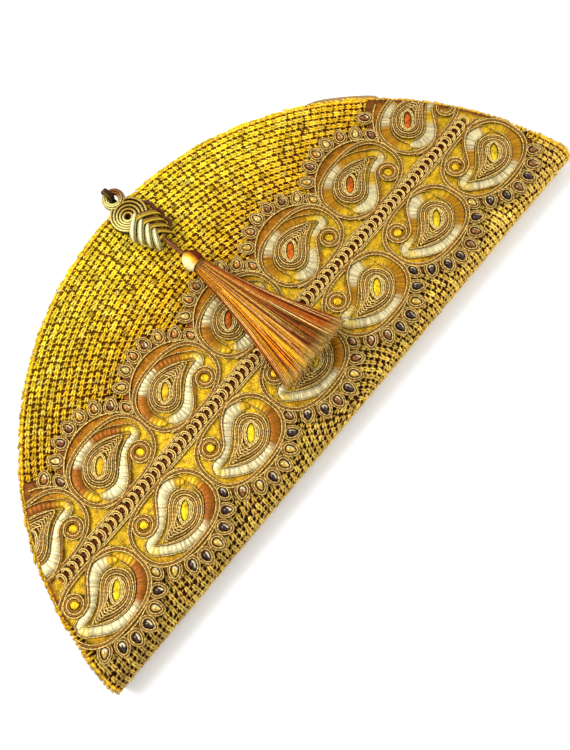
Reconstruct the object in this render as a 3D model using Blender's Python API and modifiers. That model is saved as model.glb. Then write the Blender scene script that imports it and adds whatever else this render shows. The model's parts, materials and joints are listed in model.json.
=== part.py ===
"""Half-moon evening clutch: a round crocheted disc folded on its diameter, with an embroidered
paisley border across the front and a knotted tassel at the top of the curved edge.

The bag lies on its back leaf. X runs along the straight fold, +Y points from the fold to the
top of the curve, +Z points out of the front. The pieces are made with the fold at y = 0 and
then moved, so that the origin is the middle of the base of the whole. All sizes are in metres.
"""

import math

import bmesh
import bpy
from mathutils import Matrix, Vector
from mathutils.bvhtree import BVHTree

# Crocheted disc and its fold
DISC_RADIUS = 0.150
WALL = 0.0024
FOLD_RADIUS = 0.0070
RIM_THICKNESS = 0.0120
BULGE = 0.0040
BULGE_RADIUS = 0.130
RIM_LIFT = 0.0008
LIFT_START = 0.110
FOLD_EASE = 0.025
BULGE_EASE = 0.030

# Crochet rows: each ridge stands for a few rows of stitches
ROW_COUNT = 12
ROW_DEPTH = 0.0008
ROW_CREST = 0.5
FOLD_STEPS = 2
LEAF_STEPS = 7
LEAF_SPREAD = 1.25
INNER_STEP = 0.0375
FOLD_SHARE = 0.55

# Lining, snap and side seams
CLEARANCE = 0.0003
LINING_WALL = 0.0005
LINING_INSET = 0.005
SNAP_RADIUS = 0.0070
SNAP_INSET = 0.0150
SNAP_RIM = 0.0020
STUD_RADIUS = 0.0022
STUD_CLEARANCE = 0.0004
SEAM_START = 9.0
SEAM_END = 37.0
SEAM_STEPS = 7

# Embroidered border, measured in plan
MEDALLIONS = 7
PITCH = 0.2767 * DISC_RADIUS
BORDER_SHIFT = -0.036 * PITCH
LOWER_ROW = 0.1920 * DISC_RADIUS
UPPER_ROW = 0.4387 * DISC_RADIUS
CHAIN_LINE = 0.3160 * DISC_RADIUS
NET_THICKNESS = 0.0004
NET_ROWS = 3
RIM_MARGIN = 0.0012
LOWER_REACH = 0.494 * PITCH
UPPER_REACH = 0.573 * PITCH
SCALLOP_WIDTH = 0.542 * PITCH
POD_LENGTH = 0.140 * PITCH
POD_HEIGHT = 0.0014
POD_RECESS = 0.0385 * PITCH
PODS_PER_PITCH = 6

# Couched cords, ribbon and paisley of one medallion
CORD_RADIUS = 0.0009
RING_HALF_WIDTH = 0.4675 * PITCH
RING_HALF_HEIGHT = 0.342 * PITCH
RING_POWER = 2.5
CURL_CENTRE = (-0.258, 0.202)
CURL_RADIUS = 0.0964
CURL_DROP = 0.0627
CURL_TURN = 400.0
RIBBON_WIDTH = 0.0964 * PITCH
RIBBON_THICKNESS = 0.0004
PAISLEY_HEIGHT = 0.0017
PAISLEY_SHOULDER = 0.62

# Chain of overlapping rings between the two rows of medallions
CHAIN_WIDTH = 0.1205 * PITCH
CHAIN_HEIGHT = 0.0018
CHAIN_PITCH = 0.188 * PITCH

# Knot and tassel
KNOT_X = 0.0035
KNOT_TOP = 0.1375
KNOT_TIP = 0.1160
KNOT_HALF_WIDTH = 0.0090
KNOT_TIP_HALF_WIDTH = 0.0034
KNOT_THICKNESS = 0.0080
KNOT_STRANDS = 5
COIL_RADIUS = 0.0088
COIL_FOOT = 0.0009
COIL_SHIFT = 0.0008
EYE_CENTRE_Y = 0.1480
EYE_RADIUS = 0.0038
EYE_CORD = 0.0016
ANCHOR_CORD = 0.0008
ANCHOR_GAP = 0.0004
ANCHOR_END = 215.0
ANCHOR_DROP = 0.0066
NECK_LEVEL = 0.74
NECK_GAP = 0.0004
NECK_RADIUS = 0.0009
NECK_TAPER = 0.0014
NECK_LENGTH = 0.0085
STEM_LENGTH = 0.0045
HEAD_RADIUS = 0.0045
HEAD_LENGTH = 0.0108
SKIRT_LENGTH = 0.0655
SKIRT_HALF_WIDTH = 0.0185
SKIRT_TOP_HALF_WIDTH = 0.0038
SKIRT_TOP_HALF_DEPTH = 0.0034
SKIRT_HALF_DEPTH = 0.0042
TASSEL_TILT = 4.3
SKIRT_FLUTES = 14
FLUTE_DEPTH = 0.12

MERGE = 0.00001
FOLD_QUARTER = math.pi / 2 * FOLD_RADIUS
NET_BASE = 2 * CLEARANCE
NET_TOP = NET_BASE + NET_THICKNESS
RIBBON_BASE = NET_TOP + CLEARANCE
CORD_BASE = RIBBON_BASE + RIBBON_THICKNESS + CLEARANCE
RELIEF_TOP = CORD_BASE + 2 * CORD_RADIUS


def clear_scene():
    """Removes the objects of the start-up scene."""
    for obj in list(bpy.data.objects):
        bpy.data.objects.remove(obj, do_unlink=True)


def new_collection(name):
    collection = bpy.data.collections.new(name)
    bpy.context.scene.collection.children.link(collection)
    return collection


def material(name, colour, roughness, metallic):
    """A Principled BSDF with a plain colour."""
    made = bpy.data.materials.new(name)
    made.use_nodes = True
    shader = made.node_tree.nodes["Principled BSDF"]
    shader.inputs["Base Color"].default_value = (*colour, 1.0)
    shader.inputs["Roughness"].default_value = roughness
    shader.inputs["Metallic"].default_value = metallic
    return made


def add_object(name, mesh, collection, surface):
    obj = bpy.data.objects.new(name, mesh)
    obj.data.materials.append(surface)
    collection.objects.link(obj)
    return obj


def mesh_from(name, build):
    """A mesh filled by build(bm), with its faces pointing out."""
    bm = bmesh.new()
    build(bm)
    bmesh.ops.recalc_face_normals(bm, faces=bm.faces)
    mesh = bpy.data.meshes.new(name)
    bm.to_mesh(mesh)
    bm.free()
    return mesh


def ease(t):
    """Smooth step from 0 to 1."""
    t = min(max(t, 0.0), 1.0)
    return t * t * (3 - 2 * t)


def back_height(x, y):
    """Height of the back leaf's outer face: flat, and lifting a little towards the rim."""
    reach = math.hypot(x, y)
    lift = ease((reach - LIFT_START) / (DISC_RADIUS - LIFT_START))
    near_fold = 1 - math.exp(-max(y - FOLD_RADIUS, 0) / BULGE_EASE)
    return RIM_LIFT * lift * near_fold


def leaf_gap(x, y):
    """Thickness of the whole bag at a point of its plan."""
    away = max(y - FOLD_RADIUS, 0.0)
    flat = RIM_THICKNESS + (2 * FOLD_RADIUS - RIM_THICKNESS) * math.exp(-((away / FOLD_EASE) ** 2))
    inside = max(1 - (math.hypot(x, y) / BULGE_RADIUS) ** 2, 0.0)
    return flat + BULGE * inside**2 * (1 - math.exp(-away / BULGE_EASE))


def front_height(x, y):
    """Height of the front's outer face in plan, with the round of the fold near y = 0."""
    if y >= FOLD_RADIUS:
        return back_height(x, y) + leaf_gap(x, y)
    inward = FOLD_RADIUS - max(y, 0.0)
    return FOLD_RADIUS + math.sqrt(FOLD_RADIUS**2 - inward**2)


def folded_point(x, s):
    """Outer face of the folded disc, at x along the fold and s across it (front s > 0)."""
    side = 1 if s >= 0 else -1
    run = abs(s)
    if run <= FOLD_QUARTER:
        turn = run / FOLD_RADIUS
        y = FOLD_RADIUS * (1 - math.cos(turn))
        return Vector((x, y, FOLD_RADIUS + side * FOLD_RADIUS * math.sin(turn)))
    y = FOLD_RADIUS + run - FOLD_QUARTER
    z = front_height(x, y) if side > 0 else back_height(x, y)
    return Vector((x, y, z))


def folded_normal(x, s):
    step = FOLD_RADIUS / 50
    across = folded_point(x, s + step) - folded_point(x, s - step)
    along = folded_point(x + step, s) - folded_point(x - step, s)
    return along.cross(across).normalized()


def ring_angles(radius):
    """Angles round one ring of the disc, close together where the ring passes the fold."""
    widest = FOLD_SHARE * math.pi / 2
    at_fold = min(math.asin(min(FOLD_QUARTER / radius, 1.0)), widest)
    quarter = [at_fold * k / FOLD_STEPS for k in range(FOLD_STEPS)]
    rest = math.pi / 2 - at_fold
    quarter += [at_fold + rest * (k / LEAF_STEPS) ** LEAF_SPREAD for k in range(LEAF_STEPS)]
    half = quarter + [math.pi / 2] + [math.pi - a for a in reversed(quarter[1:])]
    return half + [a + math.pi for a in half]


def folded_ring(bm, radius, depth):
    """Vertices of one ring of the disc, at a depth under its outer face."""
    made = []
    for angle in ring_angles(radius):
        x = radius * math.cos(angle)
        s = radius * math.sin(angle)
        made.append(bm.verts.new(folded_point(x, s) - depth * folded_normal(x, s)))
    return made


def bridge_rings(bm, first, second):
    """Quads between two closed rings with the same number of vertices."""
    count = len(first)
    for k in range(count):
        n = (k + 1) % count
        bm.faces.new((first[k], first[n], second[n], second[k]))


def cap(bm, ring):
    """Closes a ring with triangles."""
    face = bm.faces.new(ring)
    face.normal_update()
    bmesh.ops.triangulate(bm, faces=[face], ngon_method="EAR_CLIP")


def fan(bm, centre, ring):
    """Triangles from one vertex to a closed ring."""
    for k in range(len(ring)):
        bm.faces.new((centre, ring[k], ring[(k + 1) % len(ring)]))


def folded_disc(name, outer, inner):
    """A folded disc with a thickness. outer and inner are (radius, depth) pairs, centre first."""

    def build(bm):
        faces = []
        for profile in (outer, inner):
            pole = folded_point(0, 0) - profile[0][1] * folded_normal(0, 0)
            rings = [folded_ring(bm, radius, depth) for radius, depth in profile]
            fan(bm, bm.verts.new(pole), rings[0])
            for a, b in zip(rings, rings[1:]):
                bridge_rings(bm, a, b)
            faces.append(rings[-1])
        bridge_rings(bm, faces[0], faces[1])

    return mesh_from(name, build)


def crochet_profile():
    """Radius and depth of the shell's outer face, one flat-topped ridge for each row."""
    row = DISC_RADIUS / ROW_COUNT
    edge = row * (1 - ROW_CREST) / 2
    profile = []
    for k in range(ROW_COUNT):
        start = k * row
        if k:
            profile.append((start, ROW_DEPTH))
        profile.append((start + edge, 0.0))
        profile.append((start + row - edge, 0.0))
    profile.append((DISC_RADIUS, ROW_DEPTH))
    return profile


def plain_profile(reach, depth):
    """Radius and depth of a smooth face, with its rings at the same radii on every layer."""
    radii = [INNER_STEP / 2] + [INNER_STEP * k for k in range(1, int(DISC_RADIUS / INNER_STEP) + 1)]
    return [(radius, depth) for radius in radii if radius < reach - INNER_STEP / 5] + [(reach, depth)]


def shell_facets():
    """The crests of the shell as flat facets, for what lies on the front."""
    bm = bmesh.new()
    pole = bm.verts.new(folded_point(0, 0))
    rings = [folded_ring(bm, radius, 0.0) for radius, depth in crochet_profile()]
    fan(bm, pole, rings[0])
    for a, b in zip(rings, rings[1:]):
        bridge_rings(bm, a, b)
    bmesh.ops.triangulate(bm, faces=bm.faces)
    facets = BVHTree.FromBMesh(bm)
    bm.free()
    return facets


def on_front(x, y):
    """Height of the front's facets in plan."""
    hit = FACETS.ray_cast(Vector((x, y, 1.0)), Vector((0, 0, -1)))[0]
    return hit.z if hit else front_height(x, y)


def build_shell(collection, surface):
    inner = plain_profile(DISC_RADIUS, WALL)
    mesh = folded_disc("crochet_shell", crochet_profile(), inner)
    return add_object("crochet_shell", mesh, collection, surface)


def build_lining(collection, surface):
    reach = DISC_RADIUS - LINING_INSET
    depth = WALL + CLEARANCE
    outer = plain_profile(reach, depth)
    inner = plain_profile(reach, depth + LINING_WALL)
    mesh = folded_disc("lining", outer, inner)
    return add_object("lining", mesh, collection, surface)


def turned(name, profile, collection, surface, steps=14, closed=False):
    """A turned solid: (radius, height) pairs from the top of the axis down to its foot.

    A closed profile, round from its top by way of its outer side, makes a ring.
    """
    bm = bmesh.new()
    verts = [bm.verts.new((radius, 0, height)) for radius, height in profile]
    for a, b in zip(verts, verts[1:]):
        bm.edges.new((a, b))
    if closed:
        bm.edges.new((verts[-1], verts[0]))
    mesh = bpy.data.meshes.new(name)
    bm.to_mesh(mesh)
    bm.free()
    obj = add_object(name, mesh, collection, surface)
    screw = obj.modifiers.new("turn", "SCREW")
    screw.steps = steps
    screw.render_steps = steps
    screw.use_merge_vertices = True
    screw.merge_threshold = MERGE
    screw.use_smooth_shade = False
    return obj


def build_snap(collection, surface):
    """The two halves of the magnetic snap, facing each other at the top of the mouth."""
    y = DISC_RADIUS - FOLD_QUARTER + FOLD_RADIUS - SNAP_INSET
    depth = WALL + CLEARANCE + LINING_WALL + CLEARANCE
    low = back_height(KNOT_X, y) + depth
    high = front_height(KNOT_X, y) - depth
    half = (high - low - CLEARANCE) / 2
    hole = STUD_RADIUS + STUD_CLEARANCE
    stud = half - SNAP_RIM / 2
    socket = [
        (0, half - stud - CLEARANCE),
        (hole, half - stud - CLEARANCE),
        (hole, half),
        (SNAP_RADIUS - SNAP_RIM, half),
        (SNAP_RADIUS, half / 2),
        (SNAP_RADIUS, 0),
        (0, 0),
    ]
    cap = [
        (0, 2 * half + CLEARANCE),
        (SNAP_RADIUS, 2 * half + CLEARANCE),
        (SNAP_RADIUS, 1.5 * half + CLEARANCE),
        (SNAP_RADIUS - SNAP_RIM, half + CLEARANCE),
        (STUD_RADIUS, half + CLEARANCE),
        (STUD_RADIUS, half - stud),
        (0, half - stud),
    ]
    for name, profile in (("snap_socket", socket), ("snap_stud", cap)):
        obj = turned(name, profile, collection, surface)
        obj.location = (KNOT_X, y, low)


def cord(name, points, radius, collection, surface, resolution=0):
    """A round cord through the given points."""
    curve = bpy.data.curves.new(name, "CURVE")
    curve.dimensions = "3D"
    curve.bevel_depth = radius
    curve.bevel_resolution = resolution
    curve.use_fill_caps = True
    spline = curve.splines.new("POLY")
    spline.points.add(len(points) - 1)
    for target, point in zip(spline.points, points):
        target.co = (*point, 1.0)
    obj = bpy.data.objects.new(name, curve)
    curve.materials.append(surface)
    collection.objects.link(obj)
    return obj


def build_side_seams(collection, surface):
    """The stitched seams that close the rim between the fold and the mouth."""
    radius = (RIM_THICKNESS - 2 * WALL) / 2 - CLEARANCE
    reach = DISC_RADIUS - radius
    for name, side in (("side_seam_left", -1), ("side_seam_right", 1)):
        points = []
        for k in range(SEAM_STEPS + 1):
            angle = math.radians(SEAM_START + (SEAM_END - SEAM_START) * k / SEAM_STEPS)
            x = side * reach * math.cos(angle)
            s = reach * math.sin(angle)
            y = folded_point(x, s).y
            middle = (front_height(x, y) + back_height(x, y)) / 2
            points.append((x, y, middle))
        cord(name, points, radius, collection, surface, 1)


def rim_y(x, margin):
    """How far in y the front leaf reaches at x."""
    inside = max((DISC_RADIUS - margin) ** 2 - x**2, 0.0)
    return math.sqrt(inside) - FOLD_QUARTER + FOLD_RADIUS


def scallop(x, reach):
    """Distance from a row of medallions to its edge of pods, at x."""
    u = (x - BORDER_SHIFT + PITCH / 2) % PITCH - PITCH / 2
    return reach * math.sqrt(max(1 - (u / SCALLOP_WIDTH) ** 2, 0.0))


def lay_sheet(name, build, thickness, collection, surface):
    """A sheet with its upper face as built, thickened downwards."""
    mesh = mesh_from(name, build)
    if sum(face.normal.z * face.area for face in mesh.polygons) < 0:
        mesh.flip_normals()
    obj = add_object(name, mesh, collection, surface)
    thicken = obj.modifiers.new("thickness", "SOLIDIFY")
    thicken.thickness = thickness
    thicken.offset = -1
    return obj


def net_column(x, pod):
    """One line of the net across the border: (y, height above the ground sheet) pairs."""
    limit = rim_y(x, RIM_MARGIN)
    recess = 0.0 if pod else POD_RECESS
    raised = POD_HEIGHT if pod else 0.0
    low_crest = LOWER_ROW - scallop(x, LOWER_REACH)
    edge = UPPER_ROW + scallop(x, UPPER_REACH) + POD_LENGTH / 2 - recess
    high = min(edge, limit)
    top_raised = raised if edge < limit else 0.0
    high_crest = max(high - POD_LENGTH / 2 + recess, low_crest + POD_LENGTH)
    low = low_crest + POD_LENGTH / 2
    top = max(high_crest - POD_LENGTH / 2, (low + high_crest) / 2)
    column = [(low_crest - POD_LENGTH / 2 + recess, 0.0), (low_crest, raised)]
    for k in range(NET_ROWS + 1):
        column.append((low + (top - low) * k / NET_ROWS, 0.0))
    return column + [(high_crest, top_raised), (high, 0.0)]


def build_net(collection, surface):
    """The border's ground: one sheet with a row of raised pods along each scalloped edge."""
    pods = PODS_PER_PITCH * MEDALLIONS
    step = PITCH / PODS_PER_PITCH / 2
    first = BORDER_SHIFT - pods * step

    def build(bm):
        columns = []
        for k in range(2 * pods + 1):
            x = first + k * step
            if rim_y(x, RIM_MARGIN) < LOWER_ROW:
                continue
            points = net_column(x, k % 2 == 1)
            made = [bm.verts.new((x, y, on_front(x, y) + NET_TOP + h)) for y, h in points]
            columns.append(made)
        for a, b in zip(columns, columns[1:]):
            for j in range(len(a) - 1):
                bm.faces.new((a[j], b[j], b[j + 1], a[j + 1]))

    return lay_sheet("border_net", build, NET_THICKNESS, collection, surface)


def superellipse(angle):
    """Point of a medallion's outer ring."""
    c, s = math.cos(angle), math.sin(angle)
    power = 2 / RING_POWER
    u = RING_HALF_WIDTH * math.copysign(abs(c) ** power, c)
    v = RING_HALF_HEIGHT * math.copysign(abs(s) ** power, s)
    return u, v


def ring_route():
    """One cord: round the medallion, back along an S and into the curl."""
    route = [superellipse(math.radians(a)) for a in range(135, 405, 30)]
    for u, v in ((0.149, 0.323), (0.0145, 0.260), (-0.087, 0.159), (-0.176, 0.118)):
        route.append((u * PITCH, v * PITCH))
    steps = 7
    for k in range(steps):
        t = k / (steps - 1)
        angle = math.radians(-90 - CURL_TURN * t)
        radius = CURL_RADIUS - CURL_DROP * t
        u = CURL_CENTRE[0] + radius * math.cos(angle)
        v = CURL_CENTRE[1] + radius * math.sin(angle)
        route.append((u * PITCH, v * PITCH))
    return route


def scaled(shares):
    """Points given as shares of the pitch, as lengths."""
    return [(u * PITCH, v * PITCH) for u, v in shares]


def ribbon_route():
    """Middle line of the pleated ribbon that runs round the paisley."""
    return scaled([
        (0.253, 0.236),
        (0.116, 0.2265),
        (-0.096, 0.077),
        (-0.260, 0.0145),
        (-0.357, -0.063),
        (-0.323, -0.183),
        (-0.164, -0.270),
        (0.149, -0.265),
        (0.304, -0.159),
        (0.376, -0.010),
        (0.376, 0.145),
    ])


def paisley_outline():
    """The curved drop inside the ribbon, from its tip round the head."""
    return scaled([
        (-0.246, -0.087),
        (-0.072, -0.024),
        (0.063, 0.087),
        (0.181, 0.145),
        (0.282, 0.116),
        (0.333, 0.019),
        (0.308, -0.106),
        (0.212, -0.207),
        (0.010, -0.236),
        (-0.159, -0.173),
    ])


def medallion_frames():
    """Name, centre and turn of each medallion: the upper row is the lower one turned half round."""
    for row, y, turn in (("lower", LOWER_ROW, 1), ("upper", UPPER_ROW, -1)):
        for k in range(MEDALLIONS):
            x = BORDER_SHIFT + (k - (MEDALLIONS - 1) / 2) * PITCH
            yield f"{row}_{k + 1}", x, y, turn


def inside_rim(x, y, margin):
    return y < rim_y(x, RIM_MARGIN + margin)


def longest_run(points, margin):
    """The longest stretch of a route that lies on the leaf."""
    runs = [[]]
    for x, y in points:
        if inside_rim(x, y, margin):
            runs[-1].append((x, y))
        elif runs[-1]:
            runs.append([])
    return max(runs, key=len)


def build_rings(collection, surface):
    for name, cx, cy, turn in medallion_frames():
        plan = [(cx + turn * u, cy + turn * v) for u, v in ring_route()]
        plan = longest_run(plan, CORD_RADIUS)
        height = CORD_BASE + CORD_RADIUS
        points = [(x, y, on_front(x, y) + height) for x, y in plan]
        cord(f"zari_ring_{name}", points, CORD_RADIUS, collection, surface)


def build_ribbons(collection, surface):
    for name, cx, cy, turn in medallion_frames():
        plan = [(cx + turn * u, cy + turn * v) for u, v in ribbon_route()]
        plan = longest_run(plan, RIBBON_WIDTH / 2)

        def build(bm, plan=plan):
            pairs = []
            for k, (x, y) in enumerate(plan):
                ahead = plan[min(k + 1, len(plan) - 1)]
                behind = plan[max(k - 1, 0)]
                along = Vector((ahead[0] - behind[0], ahead[1] - behind[1])).normalized()
                across = Vector((-along.y, along.x)) * RIBBON_WIDTH / 2
                pair = []
                for side in (-1, 1):
                    px = x + side * across.x
                    py = y + side * across.y
                    z = on_front(px, py) + RIBBON_BASE + RIBBON_THICKNESS
                    pair.append(bm.verts.new((px, py, z)))
                pairs.append(pair)
            for a, b in zip(pairs, pairs[1:]):
                bm.faces.new((a[0], a[1], b[1], b[0]))

        lay_sheet(f"gota_ribbon_{name}", build, RIBBON_THICKNESS, collection, surface)


def trimmed_outline(points):
    """A closed outline cut off along the rim of the leaf."""
    kept = []
    count = len(points)
    for k in range(count):
        here, after = points[k], points[(k + 1) % count]
        here_in = inside_rim(*here, 0)
        after_in = inside_rim(*after, 0)
        if here_in:
            kept.append(here)
        if here_in != after_in:
            low, high = (here, after) if here_in else (after, here)
            for _ in range(20):
                middle = ((low[0] + high[0]) / 2, (low[1] + high[1]) / 2)
                if inside_rim(*middle, 0):
                    low = middle
                else:
                    high = middle
            kept.append(low)
    return kept


def build_paisleys(collection, surface):
    for name, cx, cy, turn in medallion_frames():
        plan = [(cx + turn * u, cy + turn * v) for u, v in paisley_outline()]
        plan = trimmed_outline(plan)
        middle = (sum(x for x, _ in plan) / len(plan), sum(y for _, y in plan) / len(plan))

        def build(bm, plan=plan, middle=middle):
            levels = []
            for share, height in ((1, 0), (1, PAISLEY_HEIGHT / 2), (PAISLEY_SHOULDER, PAISLEY_HEIGHT)):
                level = []
                for x, y in plan:
                    px = middle[0] + share * (x - middle[0])
                    py = middle[1] + share * (y - middle[1])
                    z = on_front(px, py) + CORD_BASE + height
                    level.append(bm.verts.new((px, py, z)))
                levels.append(level)
            bridge_rings(bm, levels[0], levels[1])
            bridge_rings(bm, levels[1], levels[2])
            cap(bm, levels[0])
            cap(bm, levels[2])

        add_object(f"paisley_{name}", mesh_from(f"paisley_{name}", build), collection, surface)


def build_chain(collection, surface):
    """The line of overlapping rings, as one strip with a sloping tooth for each ring."""
    half = math.sqrt((DISC_RADIUS - RIM_MARGIN) ** 2 - (CHAIN_LINE + FOLD_QUARTER) ** 2)
    teeth = int(2 * half / CHAIN_PITCH)
    start = -teeth * CHAIN_PITCH / 2

    def height(x):
        return on_front(x, CHAIN_LINE) + RIBBON_BASE

    outline = []
    for k in range(teeth):
        x = start + k * CHAIN_PITCH
        outline.append((x, height(x) + CHAIN_HEIGHT / 3))
        outline.append((x + CHAIN_PITCH * 0.8, height(x) + CHAIN_HEIGHT))
    end = start + teeth * CHAIN_PITCH
    foot_steps = 14
    for k in range(foot_steps + 1):
        x = end + (start - end) * k / foot_steps
        outline.append((x, height(x)))

    def build(bm):
        sides = []
        for side in (-1, 1):
            y = CHAIN_LINE + side * CHAIN_WIDTH / 2
            sides.append([bm.verts.new((x, y, z)) for x, z in outline])
        bridge_rings(bm, sides[0], sides[1])
        for side in sides:
            cap(bm, side)

    return add_object("ring_chain", mesh_from("ring_chain", build), collection, surface)


def knot_base():
    """Height of the knot's underside."""
    high = max(on_front(KNOT_X, y) for y in (KNOT_TIP, KNOT_TOP))
    return high + CLEARANCE


def plait_mesh():
    """The plaited body: V-shaped sections, alternately a strand's crest and a groove."""
    sections = 2 * KNOT_STRANDS + 1
    around = [(-1, 0.30), (-0.72, 0.72), (-0.30, 0.94), (0, 0.86), (0.30, 0.94), (0.72, 0.72), (1, 0.30)]
    under = [(0.7, 0), (-0.7, 0)]

    def build(bm):
        rings = []
        for k in range(sections):
            t = k / (sections - 1)
            half = KNOT_HALF_WIDTH + (KNOT_TIP_HALF_WIDTH - KNOT_HALF_WIDTH) * t**1.3
            y = KNOT_TOP + (KNOT_TIP - KNOT_TOP) * t
            groove = 0.84 if k % 2 and 0 < k < sections - 1 else 1.0
            lean = 0.4 * half * (1 - t) if k else 0.0
            ring = []
            for u, h in around + under:
                z = knot_base() + KNOT_THICKNESS * h * (groove if h else 1)
                px = KNOT_X + u * half * (groove if 0 < h < 0.5 else 1)
                ring.append(bm.verts.new((px, y - lean * abs(u), z)))
            rings.append(ring)
        for a, b in zip(rings, rings[1:]):
            bridge_rings(bm, a, b)
        cap(bm, rings[0])
        cap(bm, rings[-1])

    return mesh_from("plait", build)


def coil_profile():
    """Half section of the coiled top of the knot: a low dome with a groove between turns."""
    turns = 3
    profile = [(0, KNOT_THICKNESS)]
    for k in range(turns):
        mid = COIL_RADIUS * (k + 0.6) / turns
        edge = COIL_RADIUS * (k + 1) / turns
        fall = KNOT_THICKNESS * (1 - 0.45 * (k + 1) / turns)
        profile.append((mid, fall + KNOT_THICKNESS * 0.12))
        profile.append((edge, fall - KNOT_THICKNESS * (0.02 if k < turns - 1 else 0.2)))
    profile.append((COIL_RADIUS * 0.8, COIL_FOOT))
    profile.append((0, COIL_FOOT))
    return profile


def build_knot(collection, cutters, surface):
    """Plaited knot with a coiled top and an eye of cord beyond the rim, as one piece."""
    knot = add_object("plaited_knot", plait_mesh(), collection, surface)
    coil = turned("knot_coil", coil_profile(), cutters, surface, 10)
    coil.location = (KNOT_X, KNOT_TOP + COIL_SHIFT, knot_base())
    section = [math.radians(90 - 72 * k) for k in range(5)]
    ring = [(EYE_RADIUS + EYE_CORD * math.cos(a), EYE_CORD * math.sin(a)) for a in section]
    eye = turned("knot_eye", ring, cutters, surface, 12, closed=True)
    eye.location = (KNOT_X, EYE_CENTRE_Y, knot_base() + KNOT_THICKNESS / 2)
    for name, tool in (("coil", coil), ("eye", eye)):
        join = knot.modifiers.new(name, "BOOLEAN")
        join.operation = "UNION"
        join.object = tool
        tool.hide_render = True
        tool.display_type = "WIRE"
    return knot


def hinge_point():
    """Middle of the eye's outer side, where the knot turns on its anchor loop."""
    return Vector((KNOT_X, EYE_CENTRE_Y + EYE_RADIUS, knot_base() + KNOT_THICKNESS / 2))


def build_anchor(collection, surface):
    """Loop of cord that holds the knot's eye, with its foot at the edge of the front leaf."""
    hinge = hinge_point()
    radius = EYE_CORD + ANCHOR_GAP + ANCHOR_CORD
    foot_y = DISC_RADIUS - FOLD_QUARTER + FOLD_RADIUS + CLEARANCE
    points = [(KNOT_X, foot_y, hinge.z - ANCHOR_DROP)]
    turns = int((ANCHOR_END + 90) / 25)
    for k in range(turns + 1):
        angle = math.radians(-90 + (ANCHOR_END + 90) * k / turns)
        points.append((KNOT_X, hinge.y + radius * math.cos(angle), hinge.z + radius * math.sin(angle)))
    return cord("anchor_loop", points, ANCHOR_CORD, collection, surface)


def swing_point():
    """Where the neck cord leaves the tip of the knot."""
    return Vector((KNOT_X, KNOT_TIP, knot_base() + NECK_LEVEL * KNOT_THICKNESS))


def build_tassel(collection, cord_surface, head_surface, silk_surface):
    """Neck cord, bound head and silk skirt, lying down the front from the knot's tip."""
    start = swing_point()
    tilt = math.radians(TASSEL_TILT)
    down = Vector((0, -math.cos(tilt), math.sin(tilt)))

    def place(obj, run):
        obj.rotation_euler = (math.radians(-90) - tilt, 0, 0)
        obj.location = start + down * run

    neck = [
        (0, NECK_LENGTH),
        (NECK_RADIUS, NECK_LENGTH - NECK_TAPER),
        (NECK_RADIUS, NECK_TAPER),
        (0, 0),
    ]
    neck_obj = turned("neck_cord", neck, collection, cord_surface, 8)
    run = NECK_GAP + NECK_LENGTH
    place(neck_obj, run)

    ball = HEAD_LENGTH / 2
    profile = [(0, STEM_LENGTH), (NECK_RADIUS, STEM_LENGTH - NECK_TAPER), (NECK_RADIUS, 0)]
    for k in range(1, 7):
        angle = math.pi * k / 7
        profile.append((HEAD_RADIUS * math.sin(angle), -ball + ball * math.cos(angle)))
    profile.append((0, -HEAD_LENGTH))
    head = turned("tassel_head", profile, collection, head_surface, 10)
    run += NECK_GAP + STEM_LENGTH
    place(head, run)

    run += HEAD_LENGTH + CLEARANCE

    def build(bm):
        rings = []
        shape = ((0.0, 0.0), (0.12, 0.16), (0.5, 0.50), (1.0, 1.0))
        for part, spread in shape:
            wide = SKIRT_TOP_HALF_WIDTH + (SKIRT_HALF_WIDTH - SKIRT_TOP_HALF_WIDTH) * spread
            deep = SKIRT_TOP_HALF_DEPTH + (SKIRT_HALF_DEPTH - SKIRT_TOP_HALF_DEPTH) * spread
            middle = start + down * (run + SKIRT_LENGTH * part)
            ring = []
            for k in range(2 * SKIRT_FLUTES):
                angle = math.pi * k / SKIRT_FLUTES
                flute = 1 + FLUTE_DEPTH * (1 if k % 2 else -1) * spread
                side = Vector((wide * flute * math.cos(angle), 0, deep * flute * math.sin(angle)))
                ring.append(bm.verts.new(middle + side))
            rings.append(ring)
        for a, b in zip(rings, rings[1:]):
            bridge_rings(bm, a, b)
        cap(bm, rings[0])
        cap(bm, rings[-1])

    skirt = add_object("tassel_skirt", mesh_from("tassel_skirt", build), collection, silk_surface)
    return [neck_obj, head, skirt]


def hang_from(name, point, children, collection):
    """An empty on a joint's axis, with the pieces that turn on it as its children."""
    axis = bpy.data.objects.new(name, None)
    axis.location = point
    collection.objects.link(axis)
    for child in children:
        child.parent = axis
        child.matrix_parent_inverse = Matrix.Translation(-point)
    return axis


def centre_in_plan(collections):
    """Moves every piece in y, so that the middle of the whole is over the origin."""
    bpy.context.view_layer.update()
    graph = bpy.context.evaluated_depsgraph_get()
    reach = []
    for obj in collections[0].objects:
        if obj.type != "EMPTY":
            seen = obj.evaluated_get(graph)
            reach += [(seen.matrix_world @ vert.co).y for vert in seen.to_mesh().vertices]
            seen.to_mesh_clear()
    shift = (min(reach) + max(reach)) / 2
    for collection in collections:
        for obj in collection.objects:
            if obj.parent is None:
                obj.location.y -= shift


FACETS = shell_facets()


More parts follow.
